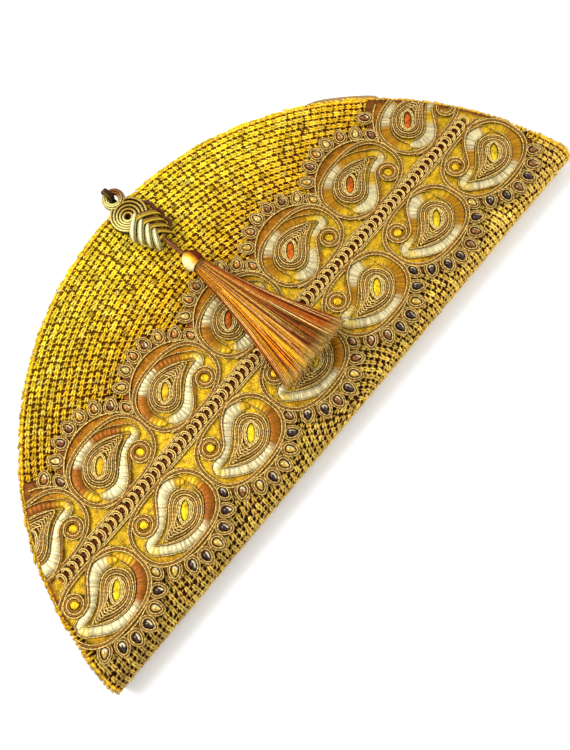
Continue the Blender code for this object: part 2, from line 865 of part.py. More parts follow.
def main():
    clear_scene()
    parts = new_collection("half_moon_clutch")
    cutters = new_collection("cutters")
    crochet = material("crochet_cord", (0.72, 0.50, 0.06), 0.45, 0.6)
    satin = material("lining_satin", (0.62, 0.47, 0.28), 0.5, 0.0)
    brass = material("snap_brass", (0.70, 0.52, 0.22), 0.3, 1.0)
    net = material("tissue_net", (0.66, 0.42, 0.05), 0.4, 0.6)
    zari = material("zari_cord", (0.50, 0.36, 0.14), 0.4, 0.8)
    gota = material("gota_ribbon", (0.86, 0.76, 0.48), 0.25, 0.8)
    plait = material("knot_cord", (0.60, 0.50, 0.22), 0.35, 0.5)
    silk = material("tassel_silk", (0.75, 0.36, 0.05), 0.4, 0.0)
    build_shell(parts, crochet)
    build_lining(parts, satin)
    build_snap(parts, brass)
    build_side_seams(parts, crochet)
    build_net(parts, net)
    build_rings(parts, zari)
    build_ribbons(parts, gota)
    build_paisleys(parts, zari)
    build_chain(parts, zari)
    build_anchor(parts, plait)
    knot = build_knot(parts, cutters, plait)
    tassel = build_tassel(parts, plait, silk, silk)
    swing = hang_from("swing_axis", swing_point(), tassel, parts)
    hang_from("hinge_axis", hinge_point(), [knot, swing], parts)
    centre_in_plan([parts, cutters])


main()
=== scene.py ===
"""Looks of the half-moon clutch: crochet stitches, couched border, plaited knot and tassel.

Shapes are worked out in millimetres with the fold of the bag at y = 0, and moved to the row
frame when a mesh is made.
"""

import json
import math
from functools import partial

import bpy
import numpy as np
from mathutils import Matrix, Vector


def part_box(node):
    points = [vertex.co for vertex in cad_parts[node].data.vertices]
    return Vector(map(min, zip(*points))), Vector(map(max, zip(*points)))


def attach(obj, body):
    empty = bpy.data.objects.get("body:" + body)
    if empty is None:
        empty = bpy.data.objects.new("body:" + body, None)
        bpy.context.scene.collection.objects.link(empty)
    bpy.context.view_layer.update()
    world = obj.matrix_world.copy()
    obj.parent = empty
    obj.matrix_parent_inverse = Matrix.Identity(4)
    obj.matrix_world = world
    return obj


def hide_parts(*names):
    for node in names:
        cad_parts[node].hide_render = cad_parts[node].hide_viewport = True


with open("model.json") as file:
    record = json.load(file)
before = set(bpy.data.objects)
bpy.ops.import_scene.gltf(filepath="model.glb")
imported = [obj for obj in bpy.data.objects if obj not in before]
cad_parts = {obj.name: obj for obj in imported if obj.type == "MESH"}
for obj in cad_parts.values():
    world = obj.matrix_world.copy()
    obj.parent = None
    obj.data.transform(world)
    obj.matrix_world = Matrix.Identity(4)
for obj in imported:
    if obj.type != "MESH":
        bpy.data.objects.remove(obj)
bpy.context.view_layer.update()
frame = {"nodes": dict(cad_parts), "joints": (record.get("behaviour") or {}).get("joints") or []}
FOLD_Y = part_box("crochet_shell")[0].y * 1000
RNG = np.random.default_rng(7)

# The folded disc, as in the part's source
DISC_RADIUS = 150.0
FOLD_RADIUS = 7.0
QUARTER = math.pi / 2 * FOLD_RADIUS
RIM_THICKNESS = 12.0
BULGE = 4.0
BULGE_RADIUS = 130.0
BULGE_EASE = 30.0
FOLD_EASE = 25.0
RIM_LIFT = 0.8
LIFT_START = 110.0

# Single crochet stitches
STITCH_ROWS = 48
STITCH_LENGTH = 2.7

# The border, as in the part's source
PITCH = 0.2767 * DISC_RADIUS
SHIFT = -0.036 * PITCH
MEDALLIONS = 7
LOWER_ROW = 0.1920 * DISC_RADIUS
UPPER_ROW = 0.4387 * DISC_RADIUS
CHAIN_LINE = 0.3160 * DISC_RADIUS
RIM_MARGIN = 1.2
TISSUE_TOP = 1.0
SCALLOP_HALF = 0.542 * PITCH
LOWER_REACH = 0.494 * PITCH
UPPER_REACH = 0.573 * PITCH

# Knot and tassel, as in the part's source
KNOT_X = 3.5
JOINTS = {joint["name"]: Vector(joint["pos_m"]) * 1000 for joint in frame["joints"]}
SWING = JOINTS["tassel_swing"] - Vector((0, FOLD_Y, 0))
HINGE = JOINTS["knot_hinge"] - Vector((0, FOLD_Y, 0))
RING_POINTS = 44
TILT = math.radians(4.3)
HEAD_START = 13.8
HEAD_END = 24.8
SKIRT_START = 24.9
SKIRT_LENGTH = 67.5

# The floor, in metres
FLOOR_HALF = 3.0
FLOOR_Z = -0.0004

# The photograph's camera, fitted: its place, and its right, down and forward directions
CAMERA_LENS = 37.63
CAMERA_PLACE = (-56.6, -47.1, 334.8)
CAMERA_ROWS = (
    (0.64769, -0.75614, -0.09353),
    (-0.74876, -0.60901, -0.26165),
    (0.14089, 0.23950, -0.96062),
)


def ease(t):
    """A smooth step from 0 at t = 0 to 1 at t = 1."""
    t = np.clip(t, 0, 1)
    return t * t * (3 - 2 * t)


def blend(first, second, share):
    """A share of the way from one colour to another."""
    return first + (second - first) * share


def unit(vectors):
    """The same vectors at a length of one."""
    return vectors / np.maximum(np.linalg.norm(vectors, axis=-1, keepdims=True), 1e-9)


def around(count):
    """Angles evenly round a circle."""
    return 2 * math.pi * np.arange(count) / count


def back_z(x, y):
    """Height of the back in plan: flat on the ground, and a little raised towards the rim."""
    reach = np.hypot(x, y)
    near_fold = 1 - np.exp(-np.maximum(y - FOLD_RADIUS, 0) / BULGE_EASE)
    return RIM_LIFT * ease((reach - LIFT_START) / (DISC_RADIUS - LIFT_START)) * near_fold


def front_z(x, y):
    """Height of the front in plan, with the round of the fold near y = 0."""
    away = np.maximum(y - FOLD_RADIUS, 0)
    gap = RIM_THICKNESS + (2 * FOLD_RADIUS - RIM_THICKNESS) * np.exp(-((away / FOLD_EASE) ** 2))
    inside = np.maximum(1 - (np.hypot(x, y) / BULGE_RADIUS) ** 2, 0)
    gap = gap + BULGE * inside**2 * (1 - np.exp(-away / BULGE_EASE))
    inward = FOLD_RADIUS - np.clip(y, 0, FOLD_RADIUS)
    fold = FOLD_RADIUS + np.sqrt(np.maximum(FOLD_RADIUS**2 - inward**2, 0))
    return np.where(y >= FOLD_RADIUS, back_z(x, y) + gap, fold)


def folded(x, s):
    """Points of the outer face at x along the fold and s across it (front s > 0)."""
    x, s = np.broadcast_arrays(np.asarray(x, float), np.asarray(s, float))
    run = np.abs(s)
    side = np.where(s >= 0, 1.0, -1.0)
    turn = np.minimum(run, QUARTER) / FOLD_RADIUS
    y = np.where(run <= QUARTER, FOLD_RADIUS * (1 - np.cos(turn)), FOLD_RADIUS + run - QUARTER)
    round_z = FOLD_RADIUS + side * FOLD_RADIUS * np.sin(turn)
    leaf_z = np.where(side > 0, front_z(x, y), back_z(x, y))
    return np.stack([x, y, np.where(run <= QUARTER, round_z, leaf_z)], -1)


def folded_normal(x, s):
    """Outward normals at the points that folded gives."""
    step = 0.2
    across = folded(x, s + step) - folded(x, s - step)
    along = folded(x + step, s) - folded(x - step, s)
    return unit(np.cross(along, across))


def rim_y(x, margin=RIM_MARGIN):
    """Height over the fold of the curved edge, less a margin."""
    inside = np.maximum((DISC_RADIUS - margin) ** 2 - np.asarray(x, float) ** 2, 0)
    return np.sqrt(inside) - QUARTER + FOLD_RADIUS


def half_chord(y, margin):
    """Half the width of the disc, less a margin at its rim, at a height y over the fold."""
    return math.sqrt((DISC_RADIUS - margin) ** 2 - (y + QUARTER) ** 2)


def on_tissue(plan, height):
    """Points in plan laid on the border's tissue, at a height over it."""
    plan = np.asarray(plan, float)
    return np.column_stack([plan, front_z(plan[:, 0], plan[:, 1]) + TISSUE_TOP + height])


def smooth(points, step, closed=False):
    """A Catmull-Rom curve through the points, sampled about every step."""
    p = np.asarray(points, float)
    if closed:
        p = np.vstack([p[-1], p, p[0], p[1]])
    else:
        p = np.vstack([2 * p[0] - p[1], p, 2 * p[-1] - p[-2]])
    out = []
    for k in range(1, len(p) - 2):
        a, b, c, d = p[k - 1], p[k], p[k + 1], p[k + 2]
        count = max(int(np.linalg.norm(c - b) / step * 4), 2)
        t = np.linspace(0, 1, count, endpoint=False)[:, None]
        out.append(0.5 * (2 * b + (c - a) * t + (2 * a - 5 * b + 4 * c - d) * t**2
                          + (3 * b - a - 3 * c + d) * t**3))
    dense = np.vstack(out + [p[-2][None]])
    run = np.concatenate([[0], np.cumsum(np.linalg.norm(np.diff(dense, axis=0), axis=1))])
    count = max(int(round(run[-1] / step)), 2)
    t = np.linspace(0, run[-1], count + 1)
    even = np.column_stack([np.interp(t, run, dense[:, i]) for i in range(dense.shape[1])])
    return even[:-1] if closed else even


def left_of(plan):
    """Unit vectors to the left of a plan line."""
    along = unit(np.gradient(plan, axis=0))
    return np.column_stack([-along[:, 1], along[:, 0]])


def turned(u, v, angle):
    """Plan points of u and v, turned by an angle."""
    c, s = math.cos(angle), math.sin(angle)
    return np.column_stack([u * c - v * s, u * s + v * c])


def ring_faces(rings, count, closed=False):
    """Quads between rings of count points each, and from the last ring to the first where closed."""
    row = np.arange(rings if closed else rings - 1)[:, None]
    i, above = row * count, (row + 1) % rings * count
    j = np.arange(count)[None]
    k = (j + 1) % count
    return np.stack([i + j, i + k, above + k, above + j], -1).reshape(-1, 4)


def cone_faces(start, count, tip):
    """Triangles from a ring of count points, numbered from start, to a point at its tip."""
    j = np.arange(count)
    return np.column_stack([start + j, start + (j + 1) % count, np.full(count, tip)])


def fan_faces(start, count):
    """Triangles that fill a ring of count points, numbered from start."""
    j = start + np.arange(1, count - 1)
    return np.column_stack([np.full(len(j), start), j, j + 1])


def sheet_faces(n, m, flip=1):
    """Faces of a sheet of n by m points, of the same points again below it, and round its edge."""
    i = (np.arange(n - 1)[:, None] * m + np.arange(m - 1)[None]).ravel()
    quads = np.stack([i, i + m, i + m + 1, i + 1], -1)
    rim = np.concatenate([np.arange(n) * m, (n - 1) * m + np.arange(1, m),
                          np.arange(n - 2, -1, -1) * m + m - 1, np.arange(m - 2, 0, -1)])
    after = np.roll(rim, -1)
    edge = np.stack([rim, rim + n * m, after + n * m, after], -1)
    return np.vstack([quads[:, ::flip], quads[:, ::-flip] + n * m, edge[:, ::flip]])


class Batch:
    """Collects meshes, with a colour for each vertex, into one object."""

    def __init__(self):
        self.verts, self.quads, self.tris, self.paint, self.count = [], [], [], [], 0

    def add(self, verts, quads=(), tris=(), paint=(1, 1, 1)):
        verts = np.asarray(verts, float).reshape(-1, 3)
        paint = np.broadcast_to(np.asarray(paint, float), (len(verts), 3))
        self.verts.append(verts)
        self.paint.append(paint)
        if len(quads):
            self.quads.append(np.asarray(quads, int).reshape(-1, 4) + self.count)
        if len(tris):
            self.tris.append(np.asarray(tris, int).reshape(-1, 3) + self.count)
        self.count += len(verts)

    def tube(self, path, radius, sides, top, low, closed=False, up=(0, 0, 1), twist=0.0, sharp=1.2):
        """A round cord along a path, painted lighter on top than at its sides as shade, and beaded where
        twisted.
        """
        path = np.asarray(path, float)
        n = len(path)
        if n < 2:
            return
        if closed:
            along = np.roll(path, -1, 0) - np.roll(path, 1, 0)
        else:
            along = np.gradient(path, axis=0)
        along = unit(along)
        side = unit(np.cross(along, up))
        over = np.cross(side, along)
        angle = around(sides)
        swell = 0.16 if twist else 0.0
        turn = 2 * (angle[None] - np.arange(n)[:, None] * twist)
        radius = np.broadcast_to(radius, (n,))[:, None] * (1 + swell * np.cos(turn))
        verts = (path[:, None] + side[:, None] * (radius * np.cos(angle))[..., None]
                 + over[:, None] * (radius * np.sin(angle))[..., None])
        # Painted shade: from the top colour on the crown to the low colour at the sides and underside.
        rise = (((np.sin(angle) + 0.25) / 1.25).clip(0, 1) ** sharp)[None, :, None]
        top, low = (np.asarray(tone, float).reshape(-1, 1, 3) for tone in (top, low))
        paint = np.broadcast_to(blend(low, top, rise), (n, sides, 3))
        # Painted light and shade, alternating from bead to bead along the twist.
        if twist:
            beads = 0.72 + 0.42 * (np.arange(n) % 2) + RNG.normal(0, 0.14, n)
            paint = paint * beads.clip(0.3, 1.4)[:, None, None]
        tris = []
        if not closed:
            tris = np.vstack([fan_faces(0, sides)[:, ::-1], fan_faces((n - 1) * sides, sides)])
        self.add(verts, ring_faces(n, sides, closed), tris, paint.reshape(-1, 3))

    def make(self, name, surface, body, slot, replaced):
        """The object of all that was added, riding on a body in place of the replaced nodes."""
        quads = np.vstack(self.quads) if self.quads else np.zeros((0, 4), int)
        tris = np.vstack(self.tris) if self.tris else np.zeros((0, 3), int)
        mesh = bpy.data.meshes.new(name)
        verts = (np.vstack(self.verts) + [0, FOLD_Y, 0]) * 0.001
        mesh.vertices.add(len(verts))
        mesh.vertices.foreach_set("co", verts.ravel())
        loops = np.concatenate([quads.ravel(), tris.ravel()])
        mesh.loops.add(len(loops))
        mesh.loops.foreach_set("vertex_index", loops)
        totals = np.concatenate([np.full(len(quads), 4), np.full(len(tris), 3)])
        starts = np.cumsum(totals) - totals
        mesh.polygons.add(len(starts))
        mesh.polygons.foreach_set("loop_start", starts)
        mesh.polygons.foreach_set("loop_total", totals)
        mesh.polygons.foreach_set("use_smooth", np.ones(len(starts), bool))
        mesh.update(calc_edges=True)
        mesh.validate()
        paint = mesh.color_attributes.new("paint", "FLOAT_COLOR", "POINT")
        rgba = np.column_stack([np.vstack(self.paint), np.ones(len(verts))])
        paint.data.foreach_set("color", rgba.ravel())
        mesh.materials.append(surface)
        obj = bpy.data.objects.new(name, mesh)
        bpy.context.scene.collection.objects.link(obj)
        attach(obj, body)
        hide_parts(*replaced)
        return obj


def add_node(tree, kind, values=()):
    """A shader node, with (socket, value) pairs set on it."""
    node = tree.nodes.new("ShaderNode" + kind)
    for socket, value in values:
        node.inputs[socket].default_value = value
    return node


def wire(tree, *joins):
    """Links (node, output, node, input) in a node tree."""
    for source, output, target, socket in joins:
        tree.links.new(source.outputs[output], target.inputs[socket])


def thread_material(name, metallic, roughness, bump, scale, vary=0.25, sheen=0.0, shine=0.25):
    """Thread, cord or ribbon: the painted colour with fine variation and a fine bump."""
    mat = bpy.data.materials.new(name)
    mat.use_nodes = True
    tree = mat.node_tree
    shader = tree.nodes["Principled BSDF"]
    shader.inputs["Metallic"].default_value = metallic
    shader.inputs["Roughness"].default_value = roughness
    shader.inputs["Sheen Weight"].default_value = sheen
    shader.inputs["Specular IOR Level"].default_value = shine
    paint = add_node(tree, "Attribute")
    paint.attribute_name = "paint"
    place = add_node(tree, "TexCoord")
    broad = add_node(tree, "TexNoise", (("Scale", scale), ("Detail", 3.0)))
    fine = add_node(tree, "TexNoise", (("Scale", scale * 6), ("Detail", 2.0)))
    ramp = add_node(tree, "MapRange", (("From Min", 0.3), ("From Max", 0.7),
                                       ("To Min", 1 - vary), ("To Max", 1 + vary)))
    mix = add_node(tree, "Mix")
    mix.data_type = "RGBA"
    mix.blend_type = "MULTIPLY"
    mix.inputs["Factor"].default_value = 1.0
    relief = add_node(tree, "Bump", (("Strength", bump), ("Distance", 0.0003)))
    wire(tree, (place, "Object", broad, "Vector"), (place, "Object", fine, "Vector"),
         (broad, "Fac", ramp, "Value"), (paint, "Color", mix, "A"), (ramp, "Result", mix, "B"),
         (mix, "Result", shader, "Base Color"), (fine, "Fac", relief, "Height"),
         (relief, "Normal", shader, "Normal"))
    return mat


# Colours, linear
GOLD_TOP = np.array([0.91, 0.54, 0.012])
# GOLD_LOW is painted shade on the low sides of stitches and crochet cords.
GOLD_LOW = np.array([0.24, 0.060, 0.003])
GOLD_PALE = np.array([1.0, 0.88, 0.16])
GOLD_DEEP = np.array([0.56, 0.29, 0.006])
GOLD_LEMON = np.array([0.99, 0.81, 0.035])
GOLD_STRAW = np.array([0.66, 0.53, 0.17])
BASE_DARK = np.array([0.090, 0.016, 0.008])
BASE_LIGHT = np.array([0.32, 0.14, 0.010])
BASE_BLACK = np.array([0.040, 0.016, 0.008])
CORD_TOP = np.array([0.76, 0.52, 0.145])
CORD_RUST = np.array([0.36, 0.15, 0.018])
CORD_LOW = np.array([0.060, 0.012, 0.002])
TISSUE_YELLOW = np.array([0.54, 0.315, 0.009])
TISSUE_RUST = np.array([0.31, 0.100, 0.002])
EDGE_BROWN = np.array([0.13, 0.036, 0.003])
CHAIN_BROWN = np.array([0.10, 0.022, 0.002])
RIBBON_WHITE = np.array([0.66, 0.56, 0.29])
RIBBON_ORANGE = np.array([0.26, 0.072, 0.0])
RIBBON_AMBER = np.array([0.40, 0.175, 0.002])
RIBBON_GOLD = np.array([0.62, 0.36, 0.008])

CROCHET = thread_material("crochet_cord", 0.55, 0.40, 0.45, 1300, 0.36, shine=0.2)
BASE = thread_material("crochet_ground", 0.0, 0.8, 0.5, 600, 0.3, shine=0.05)
CORDS = thread_material("metal_cord", 0.60, 0.36, 0.5, 1400, 0.30, shine=0.2)
TISSUE = thread_material("gold_tissue", 0.65, 0.36, 0.9, 420, 0.50, shine=0.2)
RIBBON = thread_material("gota_ribbon", 0.35, 0.30, 0.30, 700, 0.14, shine=0.15)
STONE = thread_material("pod_stones", 0.35, 0.10, 0.05, 300, 0.25, shine=0.5)
KNOT = thread_material("knot_cord", 0.45, 0.32, 0.45, 1500, 0.18, shine=0.2)
SILK = thread_material("tassel_silk", 0.25, 0.34, 0.2, 700, 0.22, shine=0.10)
SATIN = thread_material("lining_satin", 0.0, 0.45, 0.15, 900, 0.10, sheen=0.2)
BRASS = thread_material("snap_brass", 0.9, 0.28, 0.1, 400, 0.10)


def scallop(x, reach):
    """Distance from a row of medallions to its edge of pods."""
    u = (np.asarray(x, float) - SHIFT + PITCH / 2) % PITCH - PITCH / 2
    return reach * np.sqrt(np.maximum(1 - (u / SCALLOP_HALF) ** 2, 0.02))


def border_low(x):
    """Height over the fold of the border's lower edge."""
    return LOWER_ROW - scallop(x, LOWER_REACH)


def border_high(x):
    """Height over the fold of the border's upper edge."""
    return np.minimum(UPPER_ROW + scallop(x, UPPER_REACH), rim_y(x))


def folded_sheet(name, depths, reach, paint, surface, slot, replaced, rings=44, columns=160,
                 strip=0.0):
    """A thin folded disc between two depths, closed at its rim, with a strip that comes out of it."""
    base = np.linspace(0, math.pi / 2, columns // 4, endpoint=False)
    angles = np.concatenate([base + k * math.pi / 2 for k in range(4)])
    degrees = np.degrees(angles)
    bulge = strip * ease((degrees - 33) / 5) * ease((58 - degrees) / 11)
    r, a = np.meshgrid(np.linspace(0, reach, rings + 1)[1:], angles, indexing="ij")
    r = r + bulge[None] * ((r - reach * 0.9) / (reach * 0.1)).clip(0, 1)
    x, s = r * np.cos(a), r * np.sin(a)
    layers = []
    for depth in depths:
        ring = folded(x, s) - depth * folded_normal(x, s)
        pole = folded(0.0, 0.0) - depth * folded_normal(0.0, 0.0)
        layers.append(np.vstack([pole[None], ring.reshape(-1, 3)]))
    if callable(paint):
        paint = np.vstack([paint(0.0, 0.0)[None], paint(x.ravel(), s.ravel())] * 2)
    size, n = len(layers[0]), len(angles)
    quads, tris = [], []
    for shift, flip in ((0, -1), (size, 1)):
        quads.append((shift + 1 + ring_faces(rings, n))[:, ::flip])
        tris.append(cone_faces(shift + 1, n, shift)[:, ::-flip])
    i = size - n + np.arange(n)
    j = size - n + (np.arange(n) + 1) % n
    quads.append(np.stack([i, j, j + size, i + size], -1))
    batch = Batch()
    batch.add(np.vstack(layers), np.vstack(quads), np.vstack(tris), paint)
    return batch.make(name, surface, "bag", slot, replaced)


def lobe(points, radii, sides):
    """A small tapered cord as (verts, quads, tris) in (along row, across row, height)."""
    points = np.asarray(points, float)
    along = unit(np.gradient(points, axis=0))
    side = unit(np.cross(along, [0, 0, 1.0]))
    over = np.cross(side, along)
    angle = around(sides)
    rings = []
    for k in range(1, len(points) - 1):
        out = np.outer(np.cos(angle), side[k]) + np.outer(np.sin(angle), over[k])
        rings.append(points[k] + radii[k] * out)
    verts = np.vstack([points[0][None]] + rings + [points[-1][None]])
    end = len(verts) - 1
    tris = np.vstack([cone_faces(1, sides, 0)[:, ::-1], cone_faces(end - sides, sides, end)])
    return verts, 1 + ring_faces(len(rings), sides), tris


def stitch_template():
    """One crochet stitch: two strands that part along the row, and the post across the groove."""
    outer = lobe([(-2.1, 1.55, -1.15), (-0.9, 1.65, -0.58), (0.9, 1.98, -0.50), (2.1, 2.10, -1.25)],
                 [0, 0.56, 0.54, 0], 5)
    inner = lobe([(-2.1, 1.00, -1.15), (-0.9, 0.92, -0.62), (0.9, 0.74, -0.55), (2.1, 0.65, -1.25)],
                 [0, 0.55, 0.53, 0], 5)
    post = lobe([(-0.50, -1.7, -1.6), (-0.30, -0.85, -0.90), (0.22, 0.40, -0.84), (0.48, 1.3, -1.6)],
                [0, 0.46, 0.50, 0], 4)
    return outer, inner, post


def painted_shade_share(x, s):
    """How much painted shade deepens the gold: near the border's upper edge, on the front below the
    border, and towards the ends of the fold.
    """
    y = folded(x, s)[:, 1]
    over = np.maximum(y - border_high(x), 0)
    to_right = 0.40 + 0.60 / (1 + np.exp(-x / 25))
    front = np.where(s > QUARTER, 0.42 * np.exp(-over / 11) * to_right, 0.0)
    under = np.where((s > 0) & (y < border_low(x) + 2), 0.50, 0.0)
    ends = 0.45 * np.clip((np.abs(x) - 105) / 40, 0, 1)
    return np.clip(np.maximum(front, under) + ends, 0, 0.9)


def below_border(x, s):
    """One on the front between the border and the fold, where the stitches are painted paler as light
    and the ground between them darker as shade.
    """
    y = folded(x, s)[..., 1]
    return np.clip((border_low(x) + 3 - y) / 4, 0, 1) * (np.asarray(s) > -QUARTER)


def build_crochet():
    """Stitches in rings round the middle of the folded disc, left out where the border hides them."""
    centres = []
    for k in range(STITCH_ROWS):
        r = (k + 0.5) * DISC_RADIUS / STITCH_ROWS
        count = max(int(round(2 * math.pi * r / STITCH_LENGTH)), 5)
        angle = 2 * math.pi * (np.arange(count) + 0.5 * (k % 2) + 0.17 * k) / count
        angle = angle + RNG.normal(0, 0.20 / r, count)
        centres.append(np.column_stack([np.full(count, r), angle % (2 * math.pi)]))
    r, a = np.vstack(centres).T
    x, s = r * np.cos(a), r * np.sin(a)
    y = folded(x, s)[:, 1]
    hidden = (s > QUARTER) & (y > border_low(x) + 1.5) & (y < border_high(x) - 1.5)
    a, x, s, y = a[~hidden], x[~hidden], s[~hidden], y[~hidden]
    groups = {
        "crochet_front": s > QUARTER,
        "crochet_fold": np.abs(s) <= QUARTER,
        "crochet_back_left": (s < -QUARTER) & (x < 0),
        "crochet_back_right": (s < -QUARTER) & (x >= 0),
    }
    own = np.random.default_rng(11)
    for name, chosen in groups.items():
        batch = Batch()
        n = int(chosen.sum())
        cx, cs, cy = x[chosen], s[chosen], y[chosen]
        outward = np.stack([np.cos(a[chosen]), np.sin(a[chosen])], -1)
        size = 1 + RNG.normal(0, 0.08, n)
        turn = RNG.normal(0.05, 0.14, n)
        drop = RNG.normal(-0.02, 0.10, n)
        # Tone differs at random from stitch to stitch, and further left than x = -10 it is painted up to
        # 18% darker as shade.
        tone = (1 + RNG.normal(0, 0.16, n)) * (1 - 0.18 * np.clip((-cx - 10) / 60, 0, 1))
        # Painted highlights: a few random stitches are painted towards GOLD_PALE, less where painted
        # shade deepens the gold.
        pale = RNG.random(n) ** 3
        warm = own.random(n) ** 2
        # Painted shade: the gold deepens near the border and towards the ends of the fold.
        near = painted_shade_share(cx, cs)[:, None]
        # Painted light: the front's upper rows, towards the rim, are painted lemon yellow.
        lemon = 0.8 * np.clip((cy - 90) / 35, 0, 1)[:, None] * (cs > 0)[:, None]
        low = below_border(cx, cs)[:, None]
        top = blend(blend(GOLD_TOP, GOLD_LEMON, lemon), GOLD_DEEP, near)
        # Painted light: below the border the stitches are painted paler, and brighter towards the right.
        top = blend(top, GOLD_STRAW, 0.5 * low)
        top = top * (1 + 0.35 * low * ease((cx - 10) / 110)[:, None])
        top = blend(top, GOLD_DEEP, 0.34 * warm[:, None])
        top = top * tone[:, None] + (GOLD_PALE - top) * (pale[:, None] * 0.42 * (1 - 0.6 * near))
        c, d = np.cos(turn)[:, None], np.sin(turn)[:, None]
        for verts, quads, tris in stitch_template():
            u = (verts[None, :, 0] * c - verts[None, :, 1] * d) * size[:, None]
            v = (verts[None, :, 0] * d + verts[None, :, 1] * c) * size[:, None]
            h = verts[None, :, 2] + np.minimum(drop, 0.05)[:, None]
            px = cx[:, None] + u * -outward[:, 1:2] + v * outward[:, 0:1]
            ps = cs[:, None] + u * outward[:, 0:1] + v * outward[:, 1:2]
            place = folded(px, ps) + h[..., None] * folded_normal(px, ps)
            # Painted shade: each stitch runs from GOLD_LOW at its lowest points to its top colour at its
            # crown.
            rise = ((verts[:, 2] + 1.10) / 0.98).clip(0, 1)
            paint = blend(GOLD_LOW, top[:, None], rise[None, :, None])
            shift = (np.arange(n) * len(verts))[:, None, None]
            batch.add(place.reshape(-1, 3), (quads[None] + shift).reshape(-1, 4),
                      (tris[None] + shift).reshape(-1, 3), paint.reshape(-1, 3))
        batch.make(name, CROCHET, "bag", "crochet", ("crochet_shell",))


def build_rim_edging():
    """A line of small stitches along the edge of each leaf, over the wall's cut edge."""
    batch = Batch()
    r = DISC_RADIUS - 0.75
    count = 300
    for k in range(count):
        angle = 2 * math.pi * k / count
        if abs(r * math.sin(angle)) < 2:
            continue
        ends = []
        for along, depth in ((-1.5, 1.5), (-0.7, 0.9), (0.7, 1.0), (1.6, 1.7)):
            px, ps = r * math.cos(angle + along / r), r * math.sin(angle + along / r)
            ends.append(folded(px, ps) - depth * folded_normal(px, ps))
        tone = 1 + RNG.normal(0, 0.12)
        path = smooth(ends, 0.9)
        radius = [0.35, 0.85, 0.95, 0.8, 0.35] if len(path) == 5 else 0.8
        batch.tube(path, radius, 6, GOLD_TOP * tone, GOLD_LOW * 2)
    batch.make("rim_edging", CROCHET, "bag", "crochet", ("crochet_shell",))


def build_tissue():
    """Gold tissue ground of the border, scalloped, and darker inside the medallions, with painted shade
    near its edges, under the ring chain, towards the left and on its under face.
    """
    batch = Batch()
    half = half_chord(LOWER_ROW, RIM_MARGIN)
    gx, gv = np.meshgrid(np.linspace(-half, half, 200), np.linspace(0, 1, 50), indexing="ij")
    low = border_low(gx) - 1.2
    high = np.minimum(UPPER_ROW + scallop(gx, UPPER_REACH) + 1.2, rim_y(gx))
    gy = low + (high - low) * gv
    wave = 0.10 * np.sin(gx * 1.9 + 3 * np.sin(gy * 0.7)) * np.sin(gy * 2.3)
    top = np.stack([gx, gy, front_z(gx, gy) + TISSUE_TOP - 0.1 + wave], -1)
    inside, rings = np.zeros_like(gx), np.zeros_like(gx)
    for _, cx, cy, turn in medallions():
        far = np.abs((gx - cx) / 20.0) ** 2.5 + np.abs((gy - cy) / 14.6) ** 2.5
        away = np.clip(((cy - gy + 0.2 * (gx - cx)) * turn + 3) / 9, 0, 1)
        within = np.clip((1.0 - far) * 6, 0, 1)
        rings = np.maximum(rings, within)
        inside = np.maximum(inside, within * away * (0.95 if turn < 0 else 0.45))
    reach = half_chord(CHAIN_LINE, RIM_MARGIN + 2.6) - 0.4
    # Painted shade under the ring chain.
    chain = (np.clip(3.4 - np.abs(gy - CHAIN_LINE), 0, 1) * (np.abs(gx) < reach))[..., None]
    # Painted shade near the scalloped edges, between the pods' loops.
    near_edge = np.clip(1.3 - np.minimum(gy - low, high - gy) / 6.0, 0, 1)[..., None]
    outside = np.clip((np.abs(gy - CHAIN_LINE) - 17) / 9, 0, 1) * np.where(gy > CHAIN_LINE, 0.9, 0.45)
    inside = np.maximum(inside, outside * (1 - rings))
    paint = blend(TISSUE_YELLOW, TISSUE_RUST, inside[..., None])
    # Painted shade towards the left.
    paint = paint * (1 - 0.22 * ease((-gx - 40) / 80))[..., None]
    paint = blend(blend(paint, EDGE_BROWN, near_edge), CHAIN_BROWN, chain).reshape(-1, 3)
    # The under face is painted half as bright, as shade.
    batch.add(np.vstack([top.reshape(-1, 3), (top - [0, 0, 0.35]).reshape(-1, 3)]),
              sheet_faces(*gx.shape), (), np.vstack([paint, paint * 0.5]))
    obj = batch.make("border_tissue", TISSUE, "bag", "tissue", ("border_net",))


def middle_x(k):
    """Place along the fold of a row's medallion number k, from 0."""
    return SHIFT + (k - (MEDALLIONS - 1) / 2) * PITCH


def medallions():
    """Name, middle and turn of each medallion; those of the upper row are turned half round."""
    for row, y, turn in (("lower", LOWER_ROW, 1), ("upper", UPPER_ROW, -1)):
        for k in range(MEDALLIONS):
            yield f"{row}_{k + 1}", middle_x(k), y, turn


def runs_inside(plan, margin, closed=False):
    """The stretches of a plan line that lie on the leaf."""
    inside = plan[:, 1] < rim_y(plan[:, 0], RIM_MARGIN + margin)
    if inside.all():
        return [(plan, closed)]
    if closed:
        start = int(np.argmin(inside))
        plan, inside = np.roll(plan, -start, 0), np.roll(inside, -start)
    cuts = np.flatnonzero(np.diff(inside)) + 1
    pieces = zip(np.split(plan, cuts), np.split(inside, cuts))
    return [(piece, False) for piece, kept in pieces if kept[0] and len(piece) > 2]


def superellipse(a, b, power=2.5):
    """Points round an oval with full corners, of half widths a and b."""
    t = np.radians(np.linspace(0, 360, 200))[:-1:4]
    c, s = np.cos(t), np.sin(t)
    return np.column_stack([a * np.sign(c) * np.abs(c) ** (2 / power),
                            b * np.sign(s) * np.abs(s) ** (2 / power)])


